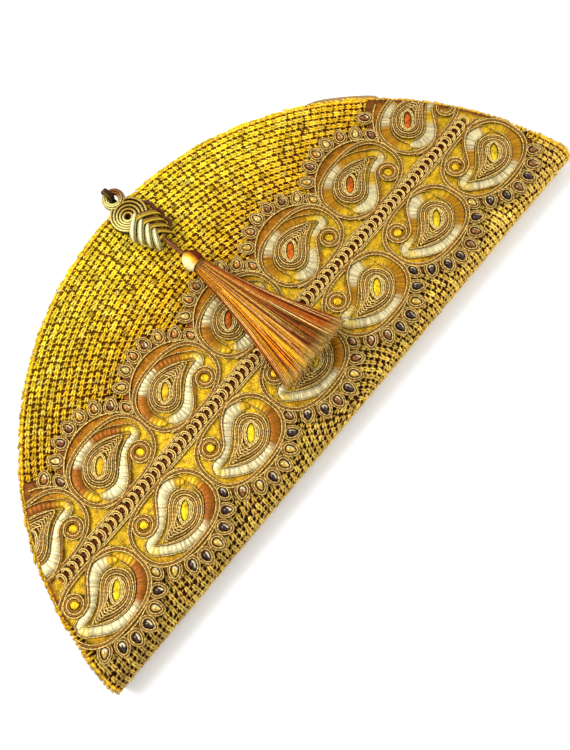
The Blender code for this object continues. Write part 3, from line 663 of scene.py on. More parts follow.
# One medallion's lines, from its middle, as in the part's source
S_LINE = [(16.5, 12.2), (12.5, 13.9), (8.5, 14.3), (4.5, 13.4), (0.6, 11.0), (-3.4, 6.5),
          (-6.6, 3.2), (-10.5, 2.1)]
RIBBON_LINE = [(13.6, 6.6), (12.2, 8.2), (9.5, 9.9), (5.5, 10.6), (1.5, 9.0), (-2.5, 5.6),
               (-6.5, 2.2), (-10.5, 0.8), (-14.6, 0.2), (-15.4, -2.6), (-12.6, -5.6), (-9.0, -8.7),
               (-4.5, -11.2), (0.5, -12.4), (5.5, -12.3), (9.5, -10.8), (12.6, -8.8), (15.2, -6.2),
               (16.8, -2.9), (17.2, 1.4), (16.2, 5.2), (14.6, 8.2)]
WIDTHS = ([0, 0.04, 0.10, 0.20, 0.28, 0.36, 0.42, 0.55, 0.72, 0.80, 0.92, 0.97, 1],
          [1.2, 2.4, 2.9, 2.7, 1.95, 1.9, 2.1, 2.1, 2.1, 2.6, 2.5, 2.0, 0.9])
DROP = np.array([(-10.8, -3.9), (-5.8, -1.6), (-1.8, 1.0), (2.2, 4.7), (6.4, 6.6), (10.4, 5.2),
                 (12.9, 1.4), (12.9, -2.5), (10.4, -6.4), (6.5, -9.0), (2.5, -9.8), (-2.5, -8.9),
                 (-6.6, -7.0)])
EYE = np.array([5.0, -1.9])
EYE_TILT = math.radians(41)
CURL = np.array([-10.5, 7.5])

# Colours along a ribbon, at shares of its length: painted reflection, white where the metal ribbon turns
# to the light
PALE_GOLD = np.array([0.72, 0.52, 0.10])
LOWER_START = ((0.04, RIBBON_GOLD), (0.07, RIBBON_WHITE))
LOWER_GAP = ((0.17, RIBBON_WHITE), (0.20, RIBBON_ORANGE), (0.28, RIBBON_ORANGE), (0.31, PALE_GOLD))
LOWER_END = ((0.37, RIBBON_WHITE), (0.42, PALE_GOLD), (0.46, RIBBON_WHITE), (0.68, RIBBON_WHITE),
             (0.73, RIBBON_ORANGE), (0.89, RIBBON_ORANGE), (0.94, RIBBON_GOLD))
UPPER_START = ((0, RIBBON_GOLD), (0.04, RIBBON_WHITE))
UPPER_GAP = ((0.19, RIBBON_WHITE), (0.23, RIBBON_GOLD), (0.27, RIBBON_GOLD), (0.30, RIBBON_WHITE))
UPPER_END = ((0.37, RIBBON_WHITE), (0.40, PALE_GOLD), (0.44, RIBBON_GOLD), (0.50, RIBBON_ORANGE),
             (0.62, RIBBON_ORANGE), (0.66, RIBBON_WHITE), (0.76, RIBBON_WHITE), (0.79, RIBBON_ORANGE),
             (0.90, RIBBON_ORANGE), (0.95, RIBBON_GOLD))
PLEAT_LINE = np.array([0.10, 0.045, 0.008])

# Stones of one medallion's pods, from its middle, and the colours that they are drawn from
LOWER_PODS = [(-20.75, -9.2), (-15.4, -15.0), (-8.9, -19.0), (-2.6, -20.8), (4.3, -20.9),
              (10.6, -18.9), (16.4, -15.0)]
UPPER_PODS = [(-20.75, 10.6), (-15.9, 18.6), (-9.0, 22.6), (-2.2, 24.4), (4.6, 24.2),
              (11.4, 21.6), (17.0, 16.8)]
LOWER_TONES = ((0.028, 0.010, 0.008), (0.028, 0.010, 0.008), (0.20, 0.07, 0.012), (0.55, 0.34, 0.05))
UPPER_TONES = ((0.55, 0.30, 0.035), (0.40, 0.15, 0.015), (0.62, 0.42, 0.10), (0.16, 0.05, 0.010))
# Pale colour of the painted glint on the pod stones, a painted reflection.
PAINTED_GLINT = np.array([0.95, 0.84, 0.50])
BEAD_BLACK = (0.025, 0.006, 0.002)


def lay(batch, centre, turn, plan, height, radius, top, closed=False, sides=6):
    """Couches a cord, drawn in a medallion's own frame, at a height over the tissue."""
    for run, whole in runs_inside(plan * turn + centre, radius, closed):
        batch.tube(on_tissue(run, height), radius, sides, top, CORD_LOW, whole, twist=2.0, sharp=2.2)


def spiral(centre, start_radius, end_radius, start, turns, step):
    """Points about every step on a spiral round a centre, clockwise from a start in degrees."""
    count = int(turns * math.pi * (start_radius + end_radius) / step)
    t = np.linspace(0, 1, count)
    angle = math.radians(start) - 2 * math.pi * turns * t
    r = start_radius + (end_radius - start_radius) * t
    return centre + np.column_stack([r * np.cos(angle), r * np.sin(angle)])


def build_medallions():
    """Couched cords of each medallion: its rings, the curl, the ribbon's edges and the paisley."""
    step = 0.8
    for name, cx, cy, turn in medallions():
        batch = Batch()
        couch = partial(lay, batch, [cx, cy], turn)
        light = CORD_TOP * (1.02 if turn > 0 else 0.94)
        for k, tone in enumerate((light, CORD_RUST, light)):
            ring = smooth(superellipse(20.7 - 0.7 * k, 15.4 - 0.65 * k), step, True)
            couch(ring, 0.92 - 0.1 * k, 0.38, tone, True)
        route = np.vstack([smooth(S_LINE, step), spiral(CURL, 5.3, 2.5, -92, 1.8, step)[2:]])
        couch(route, 1.05, 0.44, light)
        couch((route - 0.88 * left_of(route))[3:], 0.95, 0.42, CORD_RUST * 1.15)
        edge = smooth(RIBBON_LINE, step)
        half = np.interp(np.linspace(0, 1, len(edge)), *WIDTHS)[:, None] + 0.1
        for side in (-1, 1):
            couch((edge + side * half * left_of(edge))[3:-3], 0.62, 0.30, light * 0.9, sides=5)
        for k, share in enumerate((1.0, 0.88, 0.76, 0.64, 0.53)):
            tint = [0.66, 0.52, 0.46] if k % 2 else [1.05, 1.05, 1.1]
            line = smooth(EYE + (DROP - EYE) * share, step, True)
            couch(line, 0.85 + 0.12 * k, 0.40, light * tint, True)
        t = around(34)
        for a, b in ((5.3, 2.85), (4.7, 2.15)):
            oval = EYE + turned(a * np.cos(t), b * np.sin(t), EYE_TILT)
            couch(oval, 1.35, 0.36, light * [1.15, 1.3, 1.6], True)
        for k in range(7):
            tip = np.array([-9.4 + 1.35 * k, -4.1 - 0.05 * k])
            reach = 0.5 + 0.30 * k
            vee = smooth([tip + [0.9, reach], tip, tip + [1.0, -reach]], 0.5)
            couch(vee, 1.45, 0.34, light * 1.25, sides=5)
        batch.make(f"cordwork_{name}", CORDS, "bag", "metal_cord",
                   (f"zari_ring_{name}", f"paisley_{name}"))


def pleated_strip(batch, plan, share, across, tones):
    """A crowned and pleated stretch of ribbon, with painted shade in dark lines in its pleats and
    towards its edges.
    """
    n, m = plan.shape[:2]
    pleat = 0.09 * np.sin(np.arange(n) * 1.45 + RNG.normal(0, 0.25, n))[:, None]
    crown = 0.42 * (1 - across[None] ** 2)
    z = front_z(plan[..., 0], plan[..., 1]) + TISSUE_TOP + 0.22 + crown + pleat
    top = np.concatenate([plan, z[..., None]], -1).reshape(-1, 3)
    marks, colours = zip(*tones)
    slip = share + RNG.normal(0, 0.012)
    colour = np.column_stack([np.interp(slip, marks, channel) for channel in zip(*colours)])
    colour = colour * (1 + RNG.normal(0, 0.10, (n, 1)))
    # Painted shade: dark lines in the pleats.
    line = (RNG.random(n) < 0.50)[:, None, None] * RNG.uniform(0.15, 0.70, (n, 1, 1))
    line = line * (0.45 + 0.55 * RNG.random((n, m, 1)))
    # Painted shade towards the ribbon's edges, where its crown slopes away.
    paint = colour[:, None] * (1 - 0.35 * np.abs(across)[None, :, None] ** 3)
    paint = blend(paint, PLEAT_LINE, line).reshape(-1, 3)
    batch.add(np.vstack([top, top - [0, 0, 0.2]]), sheet_faces(n, m, -1), (), np.vstack([paint, paint]))


def build_ribbons():
    """Pleated metal ribbon round each paisley: painted pale as reflection where it turns to the light,
    amber elsewhere.
    """
    line = smooth(RIBBON_LINE, 0.45)
    share = np.linspace(0, 1, len(line))
    across = np.linspace(-1, 1, 9)
    for name, cx, cy, turn in medallions():
        batch = Batch()
        width = np.interp(share, *WIDTHS)
        gap = int(name[-1]) > 3
        if turn > 0:
            tones = LOWER_START + (LOWER_GAP if gap else ()) + LOWER_END
        else:
            tones = UPPER_START + (UPPER_GAP if gap else ()) + UPPER_END
            width = width * (1 - 0.35 * np.exp(-(((share - 0.44) / 0.05) ** 2)))
        orange = blend(RIBBON_ORANGE, RIBBON_AMBER, ease((cx + 100) / 190))
        tones = [(mark, orange if tone is RIBBON_ORANGE else tone) for mark, tone in tones]
        plan = line[:, None] + left_of(line)[:, None] * (across[None, :, None] * width[:, None, None])
        plan = plan * turn + [cx, cy]
        inside = (plan[..., 1] < rim_y(plan[..., 0])).all(axis=1)
        ends = np.flatnonzero(np.diff(np.concatenate([[0], inside.astype(int), [0]])))
        for first, last in zip(ends[::2], ends[1::2]):
            if last - first > 5:
                pleated_strip(batch, plan[first:last], share[first:last], across, tones)
        if batch.count:
            batch.make(f"ribbon_{name}", RIBBON, "bag", "ribbon", (f"gota_ribbon_{name}",))


def dome(batch, centre, a, b, tilt, height, rise, paint, rings=4, count=14, pinch=0.0, glint_angle=None):
    """A low dome of oval plan over the tissue, pinched to a point at one end for a teardrop, with a
    painted glint round one side when its angle is given.
    """
    angle = around(count)
    levels = []
    for k in range(rings):
        t = k / rings * math.pi / 2
        u = a * math.cos(t) * np.cos(angle)
        v = b * math.cos(t) * np.sin(angle) * (1 - pinch * np.cos(angle))
        levels.append(on_tissue(centre + turned(u, v, tilt), height + rise * math.sin(t)))
    peak = on_tissue([centre], height + rise)
    verts = np.vstack([levels[0] - [0, 0, 0.4]] + levels + [peak, peak - [0, 0, rise + 0.4]])
    end = len(verts) - 1
    tris = np.vstack([cone_faces(rings * count, count, end - 1), cone_faces(0, count, end)[:, ::-1]])
    # Painted reflection: the points round the side at the glint's angle are painted the pale glint
    # colour.
    if glint_angle is not None:
        away = np.abs((angle + tilt - glint_angle + math.pi) % (2 * math.pi) - math.pi)
        shine = np.concatenate([np.tile(away < 0.95, rings), np.zeros(count + 2, bool)])
        paint = np.where(shine[:, None], PAINTED_GLINT, paint)
    batch.add(verts, ring_faces(rings + 1, count), tris, paint)


def build_pod(stones, loops, x, y, tilt, colour):
    """A teardrop stone with a painted glint at a random side, and the three cord loops round it."""
    dome(stones, [x, y], 2.1, 1.3, tilt, 0.5, 1.25, colour, pinch=0.35, glint_angle=RNG.uniform(-0.6, 0.9))
    t = around(22)
    for a, b, r, height, tone in ((2.85, 2.1, 0.32, 0.80, CORD_TOP * [1.0, 1.05, 1.2]),
                                  (3.35, 2.55, 0.28, 0.45, CORD_RUST),
                                  (3.85, 3.0, 0.28, 0.50, CORD_TOP)):
        plan = [x, y] + turned(a * np.cos(t), b * np.sin(t) * (1 - 0.22 * np.cos(t)), tilt)
        for run, whole in runs_inside(plan, r, True):
            loops.tube(on_tissue(run, height), r, 5, tone, CORD_LOW, whole, twist=2.0, sharp=2.0)


def build_stones():
    """Paisley eyes, curl centres and the teardrop stones of the pods, with their cord loops."""
    stones, loops, eyes = Batch(), Batch(), Batch()
    for name, cx, cy, turn in medallions():
        left = int(name[-1]) < 4
        eye = (0.72, 0.46, 0.010) if turn > 0 else (0.60, 0.32, 0.010) if left else (0.50, 0.11, 0.006)
        for spot, a, b, tilt, rise, colour in ((EYE, 4.4, 1.85, EYE_TILT, 0.55, eye),
                                               (CURL, 1.9, 1.9, 0.0, 0.45, (0.70, 0.42, 0.010))):
            place = spot * turn + [cx, cy]
            if place[1] < rim_y(place[0], RIM_MARGIN + a):
                dome(eyes, place, a, b, tilt, 0.7, rise, colour, count=20)
        for k in range(6):
            place = np.array([-8.7 + 1.35 * k, -4.1 - 0.05 * k]) * turn + [cx, cy]
            if place[1] < rim_y(place[0], RIM_MARGIN + 2):
                dome(eyes, place, 0.50, 0.50, 0.0, 1.2, 0.45, BEAD_BLACK, rings=2, count=8)
    for side, row, places, tones in ((1, LOWER_ROW, LOWER_PODS, LOWER_TONES),
                                     (-1, UPPER_ROW, UPPER_PODS, UPPER_TONES)):
        for k in range(MEDALLIONS + 1):
            for number, (u, v) in enumerate(places if k < MEDALLIONS else places[:1]):
                x, y = middle_x(k) + u, row + v
                if y <= rim_y(x, 4.5) and abs(x) <= 143:
                    tilt = math.atan2(v + side * 4.0, u * 0.75 if number else 0.0)
                    build_pod(stones, loops, x, y, tilt, tones[int(RNG.integers(4))])
    x = np.linspace(-146, 146, 700)
    for edge, limit in ((border_low(x) + 3.6, rim_y(x)),
                        (UPPER_ROW + scallop(x, UPPER_REACH) - 3.6, rim_y(x, 3))):
        ok = edge < limit - 0.6
        cuts = np.flatnonzero(np.diff(ok)) + 1
        for part, kept in zip(np.split(np.column_stack([x, edge]), cuts), np.split(ok, cuts)):
            if kept[0] and len(part) > 6:
                path = on_tissue(smooth(part[::3], 0.9), 0.5)
                loops.tube(path, 0.42, 5, CORD_TOP, CORD_LOW, twist=2.0)
    eyes.make("border_eyes", TISSUE, "bag", "tissue", ("border_net",))
    stones.make("border_stones", STONE, "bag", "tissue", ("border_net",))
    loops.make("pod_loops", CORDS, "bag", "metal_cord", ("border_net",))


def build_chain():
    """Overlapping rings between two pairs of straight cords."""
    batch = Batch()
    half = half_chord(CHAIN_LINE, RIM_MARGIN + 2.6)
    count = int(2 * half / 3.3)
    t = np.radians(np.linspace(-128, 128, 13))
    for k in range(count):
        x = -half + 1.0 + k * (2 * half - 2.0) / (count - 1)
        for wide, tall, r in ((1.9, 2.55, 0.40), (1.15, 1.85, 0.36)):
            u, v = wide * np.cos(t), tall * np.sin(t)
            px, py = x + u + RNG.normal(0, 0.08), CHAIN_LINE + v + RNG.normal(0, 0.06)
            z = front_z(px, py) + TISSUE_TOP + 0.95 + 0.55 * np.cos(t)
            path = np.column_stack([px, py, z])
            batch.tube(path, r, 6, CORD_TOP * 1.1, CORD_LOW * 1.5, sharp=1.8)
    for away in (-3.9, -3.1, 3.1, 3.9):
        reach = half_chord(CHAIN_LINE + away, RIM_MARGIN + 0.6)
        x = np.linspace(-reach, reach, 300)
        plan = np.column_stack([x, np.full(300, CHAIN_LINE + away)])
        batch.tube(on_tissue(plan, 0.5), 0.40, 6, CORD_TOP, CORD_LOW, twist=2.0)
    batch.make("ring_chain_work", CORDS, "bag", "metal_cord", ("ring_chain",))


def build_seams():
    """Overcast stitches that close the rim beside the mouth."""
    over_rim = ((4.2, 1, -0.2), (1.8, 1, -0.40), (-0.1, 1, 0.8), (-0.5, 1, 4.0),
                (-0.5, -1, -4.0), (-0.1, -1, -0.8), (1.8, -1, 0.2), (4.2, -1, 0.0))
    for name, side in (("left", -1), ("right", 1)):
        batch = Batch()
        for degrees in np.arange(8.0, 38.0, 0.85):
            angle = math.radians(degrees if side > 0 else 180 - degrees)
            path = []
            for inward, leaf, depth in over_rim:
                r = DISC_RADIUS - inward
                turn = angle if leaf > 0 else angle + 0.006 * side
                path.append(folded(r * math.cos(turn), leaf * r * math.sin(turn)) - [0, 0, depth])
            path = np.array(path)
            path[:, 2] = np.maximum(path[:, 2], 0.45)
            tone = 1 + RNG.normal(0, 0.12)
            batch.tube(smooth(path, 1.2), 0.50, 6, GOLD_TOP * 0.9 * tone, GOLD_TOP * 0.5,
                       up=(side * math.cos(angle), 0.4, 0.2))
        batch.make(f"seam_stitches_{name}", CROCHET, "bag", "crochet", (f"side_seam_{name}",))


# Colours of the knot
PALE = np.array([0.88, 0.76, 0.24])
OLIVE = np.array([0.46, 0.29, 0.020])
BROWN = np.array([0.24, 0.075, 0.006])
CREAM = np.array([0.95, 0.87, 0.42])
MAROON = np.array([0.095, 0.020, 0.007])
KNOT_DARK = np.array([0.022, 0.006, 0.003])


def level_ring(x, y, z, radius):
    """Points round a level ring, from its right side."""
    t = around(RING_POINTS)
    return np.column_stack([x + radius * np.cos(t), y + radius * np.sin(t), np.full(RING_POINTS, z)])


def lit_from(degrees):
    """How lit each point of a level ring is, from a direction in degrees."""
    return (0.5 + 0.5 * np.cos(around(RING_POINTS) - math.radians(degrees)))[:, None]


def build_plait(batch, base):
    """Four rows of the plait, painted lit on the left and in shade on the right, and the maroon cord
    along its right side.
    """
    top = base + 7.2
    for k in range(4):
        x, y = KNOT_X - 0.9 + 0.3 * k, 132.4 - 4.0 * k
        wide = 8.6 - 1.35 * k
        left = np.array([(x + 1.8, y + 1.6, top - 1.9), (x + 0.2, y + 0.2, top - 0.3),
                         (x - 0.45 * wide, y - 2.6, top - 0.2), (x - 0.82 * wide, y - 5.0, top - 1.8),
                         (x - 0.92 * wide, y - 5.9, top - 4.6)])
        # Painted light: the left strands are cream, with thinner strands beside them at half as painted
        # shade between the cords.
        for shift, r, tone in ((0.0, 1.0, 1.05 - 0.05 * k), (1.15, 0.55, 0.5), (-1.15, 0.5, 0.5)):
            path = smooth(left + [0.55 * shift, -0.75 * shift, -0.35 * abs(shift)], 0.7)
            batch.tube(path, r, 8, CREAM * tone, KNOT_DARK, up=(-0.4, 0, 1), sharp=1.7)
        # Painted shade: the right strands run olive to maroon.
        for number, (shift, r, colour) in enumerate((
                (0.0, 0.62, OLIVE * 1.5), (1.15, 0.54, blend(OLIVE, BROWN, 0.4)),
                (2.15, 0.50, OLIVE * 0.9), (3.05, 0.56, MAROON * 1.3))):
            sunk = top - 0.3 * number
            right = [(x - 0.9 + 0.5 * shift, y - 1.9 + 0.5 * shift, sunk - 0.9),
                     (x + 0.8, y - 2.3 + 0.8 * shift, sunk + 0.35),
                     (x + 0.55 * wide, y - 4.2 + 0.85 * shift, sunk + 0.1),
                     (x + 0.95 * wide, y - 6.1 + 0.9 * shift, top - 1.7 - 0.2 * number),
                     (x + 1.02 * wide, y - 7.0 + 0.8 * shift, top - 4.6)]
            batch.tube(smooth(right, 0.7), r, 8, colour * (1.05 - 0.08 * k), KNOT_DARK,
                       up=(0.5, 0.1, 1), sharp=1.7)
    edge = np.array([(8.2, 141.4, 1.8), (11.4, 137.4, 2.2), (13.1, 133.2, 2.5), (12.3, 129.9, 3.0),
                     (13.4, 126.8, 2.5), (11.5, 124.0, 3.0), (12.3, 121.0, 2.5), (10.0, 118.6, 3.0),
                     (7.6, 116.4, 2.4)])
    batch.tube(smooth(edge + [0, 0, base], 0.8), 0.95, 8, MAROON, KNOT_DARK, sharp=2.0)


def build_knot():
    """Eye of wound cord, flat coil and plaited herringbone, and the small ring that holds them."""
    batch = Batch()
    lit = lit_from(205)
    for k in range(7):
        turn = 2 * math.pi * (k + 0.5) / 7
        path = level_ring(KNOT_X, HINGE.y - 3.8, HINGE.z + 1.18 * math.sin(turn),
                          3.85 + 1.18 * math.cos(turn))
        shade = blend(BROWN * 0.9, PALE * (0.8 + 0.25 * math.sin(turn)), lit)
        batch.tube(path, 0.56, 8, shade, KNOT_DARK, True, sharp=2.2)
    base = HINGE.z - 4.0
    lit = lit_from(225)
    shade = blend(blend(OLIVE, BROWN, 0.25), PALE, lit) * 1.1
    for k in range(5):
        path = level_ring(KNOT_X - 1.1 - 0.40 * k, 137.0 - 0.50 * k, base + 4.3 + 0.60 * k,
                          8.3 - 1.55 * k)
        batch.tube(path, 0.66, 8, shade, KNOT_DARK, True, sharp=2.6)
        # Painted shade: a dark cord under each coil ring darkens the gaps between the rings.
        batch.tube(path - [0, 0, 1.2 + 0.3 * k], 0.85, 6, KNOT_DARK * 2, KNOT_DARK, True)
    build_plait(batch, base)
    tip = [(KNOT_X - 2.6, 116.9, base + 4.6), (KNOT_X - 0.2, 116.2, base + 6.2),
           (KNOT_X + 2.8, 116.9, base + 4.8)]
    batch.tube(smooth(tip, 0.7), 0.95, 8, OLIVE, KNOT_DARK)
    run = np.linspace(0, 1, 9)
    path = np.column_stack([np.full(9, KNOT_X), 136 - 18.8 * run, base + 3.6 - 0.2 * run])
    batch.tube(path, 3.2 - 1.3 * run, 10, BROWN * 0.3, KNOT_DARK)
    batch.make("knot_work", KNOT, "knot", "knot_cord", ("plaited_knot",))

    loop = Batch()
    t = np.radians(np.linspace(-90, 215, 26))
    rim = DISC_RADIUS - QUARTER + FOLD_RADIUS
    # Painted shade: the three cords are painted darker from left to right.
    for side, colour in ((-0.95, OLIVE * 1.2), (0.0, BROWN * 0.8), (0.95, BROWN * 0.5)):
        x = KNOT_X + side
        ring = np.column_stack([np.full(26, x), HINGE.y + 2.75 * np.cos(t), HINGE.z + 2.75 * np.sin(t)])
        path = smooth(np.vstack([[x, rim + 0.3, HINGE.z - 6.6], ring]), 0.5)
        loop.tube(path, 0.54, 8, colour, KNOT_DARK, up=(1, 0, 0), twist=1.1)
    loop.make("anchor_cord", KNOT, "bag", "knot_cord", ("anchor_loop",))


# Locks of the tassel: place across it, from -1 to 1, width and colour; the colours are partly the silk's
# own and partly painted light and shade, brighter on the lit left, with darker locks between and
# red-brown locks on the right as shade
LOCKS = [
    (-0.97, 0.10, (0.95, 0.38, 0.006)), (-0.80, 0.10, (1.00, 0.66, 0.020)),
    (-0.66, 0.09, (0.95, 0.42, 0.008)), (-0.50, 0.09, (0.36, 0.07, 0.004)),
    (-0.38, 0.08, (1.00, 0.72, 0.060)), (-0.24, 0.08, (0.60, 0.20, 0.008)),
    (-0.10, 0.08, (0.80, 0.50, 0.070)), (0.04, 0.09, (0.22, 0.045, 0.005)),
    (0.17, 0.08, (0.85, 0.66, 0.180)), (0.31, 0.09, (0.42, 0.16, 0.022)),
    (0.44, 0.09, (0.86, 0.70, 0.260)), (0.58, 0.09, (0.58, 0.21, 0.022)),
    (0.74, 0.11, (0.50, 0.185, 0.040)), (0.92, 0.10, (0.44, 0.140, 0.034)),
]
TASSEL_DARK = np.array([0.05, 0.015, 0.008])
HEAD_HIGHLIGHT = np.array([1.0, 0.96, 0.50])
HEAD_AMBER = np.array([0.98, 0.44, 0.008])
HEAD_SHADE = np.array([0.12, 0.009, 0.001])
SILK_TINT = np.array([0.76, 0.49, 0.17])
SILK_PALE = np.array([0.85, 0.62, 0.20])
SILK_DARK = np.array([0.09, 0.012, 0.002])
SILK_ENDS = np.array([0.80, 0.55, 0.14])


def along_tassel(run, across, lift):
    """Points at a run down the tassel from its swing, across it and lifted from its middle."""
    run, across, lift = (part[..., None] for part in np.broadcast_arrays(run, across, lift))
    down = [0, -math.cos(TILT), math.sin(TILT)]
    over = [0, math.sin(TILT), math.cos(TILT)]
    return np.array(SWING) + run * down + across * [1.0, 0, 0] + lift * over


def build_neck():
    """Three twisted cords between the knot and the tassel's head."""
    neck = Batch()
    run = np.linspace(0.6, 14.5, 30)
    for side, colour in ((-1, (0.26, 0.08, 0.02)), (0, (0.34, 0.15, 0.03)), (1, (0.15, 0.035, 0.012))):
        across = side * (0.55 + 0.25 * (1 - run / 14.5)) + 0.12 * np.cos(run * 0.8 + side)
        lift = 0.30 * np.sin(run * 0.55 + 2 * side)
        neck.tube(along_tassel(run, across, lift), 0.42, 6, colour, TASSEL_DARK, twist=1.4)
    neck.make("neck_cords", KNOT, "tassel", "knot_cord", ("neck_cord",))


def build_head():
    """The round head, ridged down its length and painted as lit from the left, with a painted highlight
    on the left and painted shade on the right and at its top, and with its binding.
    """
    head = Batch()
    count, rings = 60, 16
    angle = around(count)
    ridges = 1 + 0.035 * np.cos(angle * 20)
    levels = []
    for k in range(rings + 1):
        t = math.pi * k / rings
        r = max(4.45 * math.sin(t), 0.6 if k < rings else 2.2) * ridges
        run = HEAD_START + 0.1 + 5.4 * (1 - math.cos(t))
        levels.append(along_tassel(run, r * np.cos(angle), r * np.sin(angle)))
    verts = np.vstack(levels + [along_tassel(run, 0, 0) for run in (HEAD_START, HEAD_END)])
    end = len(verts) - 1
    tris = np.vstack([cone_faces(0, count, end - 1)[:, ::-1], cone_faces(rings * count, count, end)])
    # Painted light and shade: highlight towards the left, shade on the right and near the neck.
    lit = np.tile((np.cos(angle - math.radians(170)) + 0.17).clip(0, 1), rings + 1)[:, None]
    down = np.repeat(np.linspace(0, 1, rings + 1), count)[:, None]
    lit = (lit - (0.35 - down).clip(0, None)).clip(0, 1)
    low, high = (lit * 2).clip(0, 1), (lit * 2 - 1).clip(0, 1)
    paint = blend(blend(HEAD_SHADE, HEAD_AMBER, low), HEAD_HIGHLIGHT, high)
    paint = np.vstack([paint, HEAD_SHADE, HEAD_SHADE])
    head.add(verts, ring_faces(rings + 1, count)[:, ::-1], tris, paint)
    t = around(30)
    for run, r in ((23.4, 3.3), (24.2, 3.1), (25.0, 3.3)):
        head.tube(along_tassel(run, r * np.cos(t), r * np.sin(t)), 0.42, 6,
                  (0.75, 0.36, 0.05), TASSEL_DARK, True, up=(0, 1, 0))
    head.make("tassel_bound_head", SILK, "tassel", "silk", ("tassel_head",))


def spread_at(t, start, end):
    """Half the skirt's width at a share of its length, from a start to an end."""
    return start + (end - start) * (0.35 * t + 0.65 * t**1.5)


def build_skirt():
    """Silk strands in locks of different colours, in front, in the middle and behind, over a core."""
    skirt = Batch()
    t = np.linspace(0, 1, 13)
    ends = (t[:, None] > 0.95) * 0.5
    for depth, number in ((1.0, 26), (0.66, 16), (-0.85, 6)):
        for middle, width, colour in LOCKS:
            sway, rise = RNG.normal(0, 0.02), RNG.uniform(-0.5, 0.5)
            for _ in range(number):
                own = RNG.normal(0, width * 0.62)
                u = middle + sway * np.sin(t * 4) + own * (0.5 + 0.5 * t) + RNG.normal(0, 0.03) * t**2
                across = u.clip(-1.02, 1.02) * spread_at(t, 3.6, 18.3)
                arch = np.sqrt(np.maximum(1 - (u * 0.95) ** 2, 0.04))
                lift = depth * (3.2 + 0.9 * t) * arch
                if depth > 0:
                    lift = lift + rise * t - abs(own) * 5.0 * t * (1 - 0.3 * t)
                reach = SKIRT_LENGTH * (1 - 0.03 * RNG.random() - 0.02 * middle**2)
                tone = min(max(1 + RNG.normal(0, 0.44), 0.28), 1.8)
                hair = colour * SILK_TINT * tone
                # Painted light and shade: a few random strands painted pale as highlights, more painted
                # dark as shade among them.
                if RNG.random() < 0.08:
                    hair = SILK_PALE
                elif RNG.random() < 0.27:
                    hair = SILK_DARK
                hair = blend(hair, SILK_ENDS, ends)
                path = along_tassel(SKIRT_START + reach * t, across, np.maximum(lift, -3.9))
                skirt.tube(path, 0.26 - 0.06 * t, 4, hair, hair * 0.35)
    rings, count = 12, 24
    t = np.linspace(0, 1, rings)[:, None]
    angle = around(count)
    core = along_tassel(SKIRT_START + 0.2 + (SKIRT_LENGTH - 6.5) * t,
                        spread_at(t, 3.2, 17.0) * np.cos(angle), (2.4 + 0.6 * t) * np.sin(angle))
    tris = np.vstack([fan_faces(0, count), fan_faces((rings - 1) * count, count)[:, ::-1]])
    # The core is painted dark, as the shade deep among the strands.
    skirt.add(core, ring_faces(rings, count)[:, ::-1], tris, (0.16, 0.03, 0.004))
    skirt.make("tassel_strands", SILK, "tassel", "silk", ("tassel_skirt",))


def ground_tone(x, s):
    """The ground between the stitches, painted darker as shade near the border and the fold, and lighter
    towards the rim.
    """
    y = folded(x, s)[..., 1]
    high = (0.85 * np.clip((y - 85) / 45, 0, 1) * (np.asarray(s) > 0))[..., None]
    black = (below_border(x, s) * (1 - 0.7 * ease((np.asarray(x) - 20) / 100)))[..., None]
    return blend(blend(BASE_DARK, BASE_LIGHT, high), BASE_BLACK, black)


def build_inside():
    """Ground under the stitches, the satin lining and the snap's brass."""
    folded_sheet("crochet_ground", (1.45, 2.35), DISC_RADIUS - 0.6, ground_tone, BASE, "crochet",
                 ("crochet_shell",))
    lining = folded_sheet("satin_lining", (2.75, 3.15), DISC_RADIUS - 4.6, (0.52, 0.33, 0.13), SATIN,
                          "lining", ("lining",), rings=32, columns=240, strip=8.4)
    for name in ("snap_socket", "snap_stud"):
        node = frame["nodes"][name]
        node.data.materials.clear()
        node.data.materials.append(BRASS)
        paint = node.data.color_attributes.new("paint", "FLOAT_COLOR", "POINT")
        paint.data.foreach_set("color", np.tile([0.72, 0.50, 0.20, 1.0], len(node.data.vertices)))


def any_of(tree):
    """A node that gives one where a camera, glossy or transmission ray looks."""
    path = add_node(tree, "LightPath")
    last, output = path, "Is Camera Ray"
    for name in ("Is Glossy Ray", "Is Transmission Ray"):
        wider = add_node(tree, "Math")
        wider.operation = "MAXIMUM"
        wire(tree, (last, output, wider, 0), (path, name, wider, 1))
        last, output = wider, "Value"
    return last


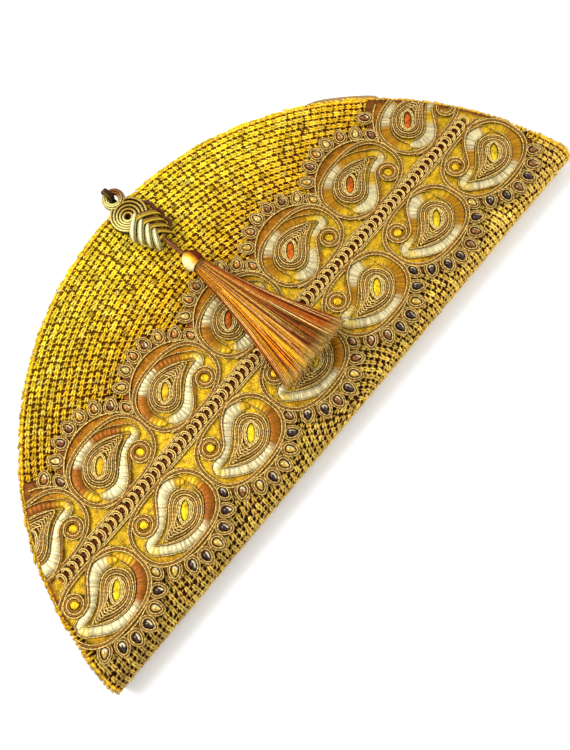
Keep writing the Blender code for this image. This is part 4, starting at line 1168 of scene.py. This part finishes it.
def build_floor():
    """A pale floor that turns white further out, and that the camera sees through from below."""
    mesh = bpy.data.meshes.new("floor")
    corners = ((-1, -1), (1, -1), (1, 1), (-1, 1))
    mesh.from_pydata([(x * FLOOR_HALF, y * FLOOR_HALF, FLOOR_Z) for x, y in corners], [], [(0, 1, 2, 3)])
    mat = bpy.data.materials.new("floor_white")
    mat.use_nodes = True
    tree = mat.node_tree
    shader = tree.nodes["Principled BSDF"]
    shader.inputs["Base Color"].default_value = (0.93, 0.93, 0.93, 1)
    shader.inputs["Roughness"].default_value = 0.9
    place, reach = add_node(tree, "TexCoord"), add_node(tree, "VectorMath")
    reach.operation = "LENGTH"
    fade = add_node(tree, "MapRange", (("From Min", 0.22), ("From Max", 0.55)))
    both = add_node(tree, "Math")
    both.operation = "MULTIPLY"
    glow = add_node(tree, "Emission", (("Strength", 1.0),))
    blend, under = add_node(tree, "MixShader"), add_node(tree, "MixShader")
    clear, face = add_node(tree, "BsdfTransparent"), add_node(tree, "NewGeometry")
    wire(tree, (place, "Object", reach, 0), (reach, "Value", fade, "Value"), (fade, "Result", both, 0),
         (any_of(tree), "Value", both, 1), (both, "Value", blend, "Fac"), (shader, "BSDF", blend, 1),
         (glow, "Emission", blend, 2), (face, "Backfacing", under, "Fac"), (blend, "Shader", under, 1),
         (clear, "BSDF", under, 2), (under, "Shader", tree.nodes["Material Output"], "Surface"))
    mesh.materials.append(mat)
    floor = bpy.data.objects.new("floor", mesh)
    bpy.context.scene.collection.objects.link(floor)


def build_world():
    """Soft white light from all round, and a white background."""
    world = bpy.data.worlds.new("studio")
    bpy.context.scene.world = world
    world.use_nodes = True
    tree = world.node_tree
    soft = tree.nodes["Background"]
    soft.inputs["Color"].default_value = (1, 1, 1, 1)
    soft.inputs["Strength"].default_value = 0.65
    white = add_node(tree, "Background", (("Color", (1, 1, 1, 1)), ("Strength", 1.0)))
    pick = add_node(tree, "MixShader")
    wire(tree, (any_of(tree), "Value", pick, "Fac"), (soft, "Background", pick, 1),
         (white, "Background", pick, 2), (pick, "Shader", tree.nodes["World Output"], "Surface"))


def build_stage():
    """Floor, world, three soft lamps and the photograph's camera."""
    scene = bpy.context.scene
    scene.view_settings.view_transform = "Standard"
    build_floor()
    build_world()
    for name, place, size, power in (
        ("key", (-0.42, 0.50, 0.75), 0.45, 7.5),
        ("fill", (0.60, -0.35, 0.80), 0.8, 3.2),
        ("low", (-0.10, -0.75, 0.35), 0.5, 1.2),
    ):
        light = bpy.data.lights.new(name, "AREA")
        light.size = size
        light.energy = power
        lamp = bpy.data.objects.new(name, light)
        lamp.location = place
        lamp.rotation_euler = (-Vector(place)).to_track_quat("-Z", "Y").to_euler()
        scene.collection.objects.link(lamp)
    data = bpy.data.cameras.new("camera")
    data.lens = CAMERA_LENS
    data.sensor_width = 36.0
    camera = bpy.data.objects.new("camera", data)
    right, down, ahead = (Vector(row) for row in CAMERA_ROWS)
    place = Vector((CAMERA_PLACE[0], CAMERA_PLACE[1] + FOLD_Y, CAMERA_PLACE[2])) * 0.001
    turn = Matrix((right, -down, -ahead)).transposed().to_4x4()
    camera.matrix_world = Matrix.Translation(place) @ turn
    scene.collection.objects.link(camera)
    scene.camera = camera


build_crochet()
build_rim_edging()
build_inside()
build_tissue()
build_medallions()
build_ribbons()
build_stones()
build_chain()
build_seams()
build_knot()
build_neck()
build_head()
build_skirt()
build_stage()
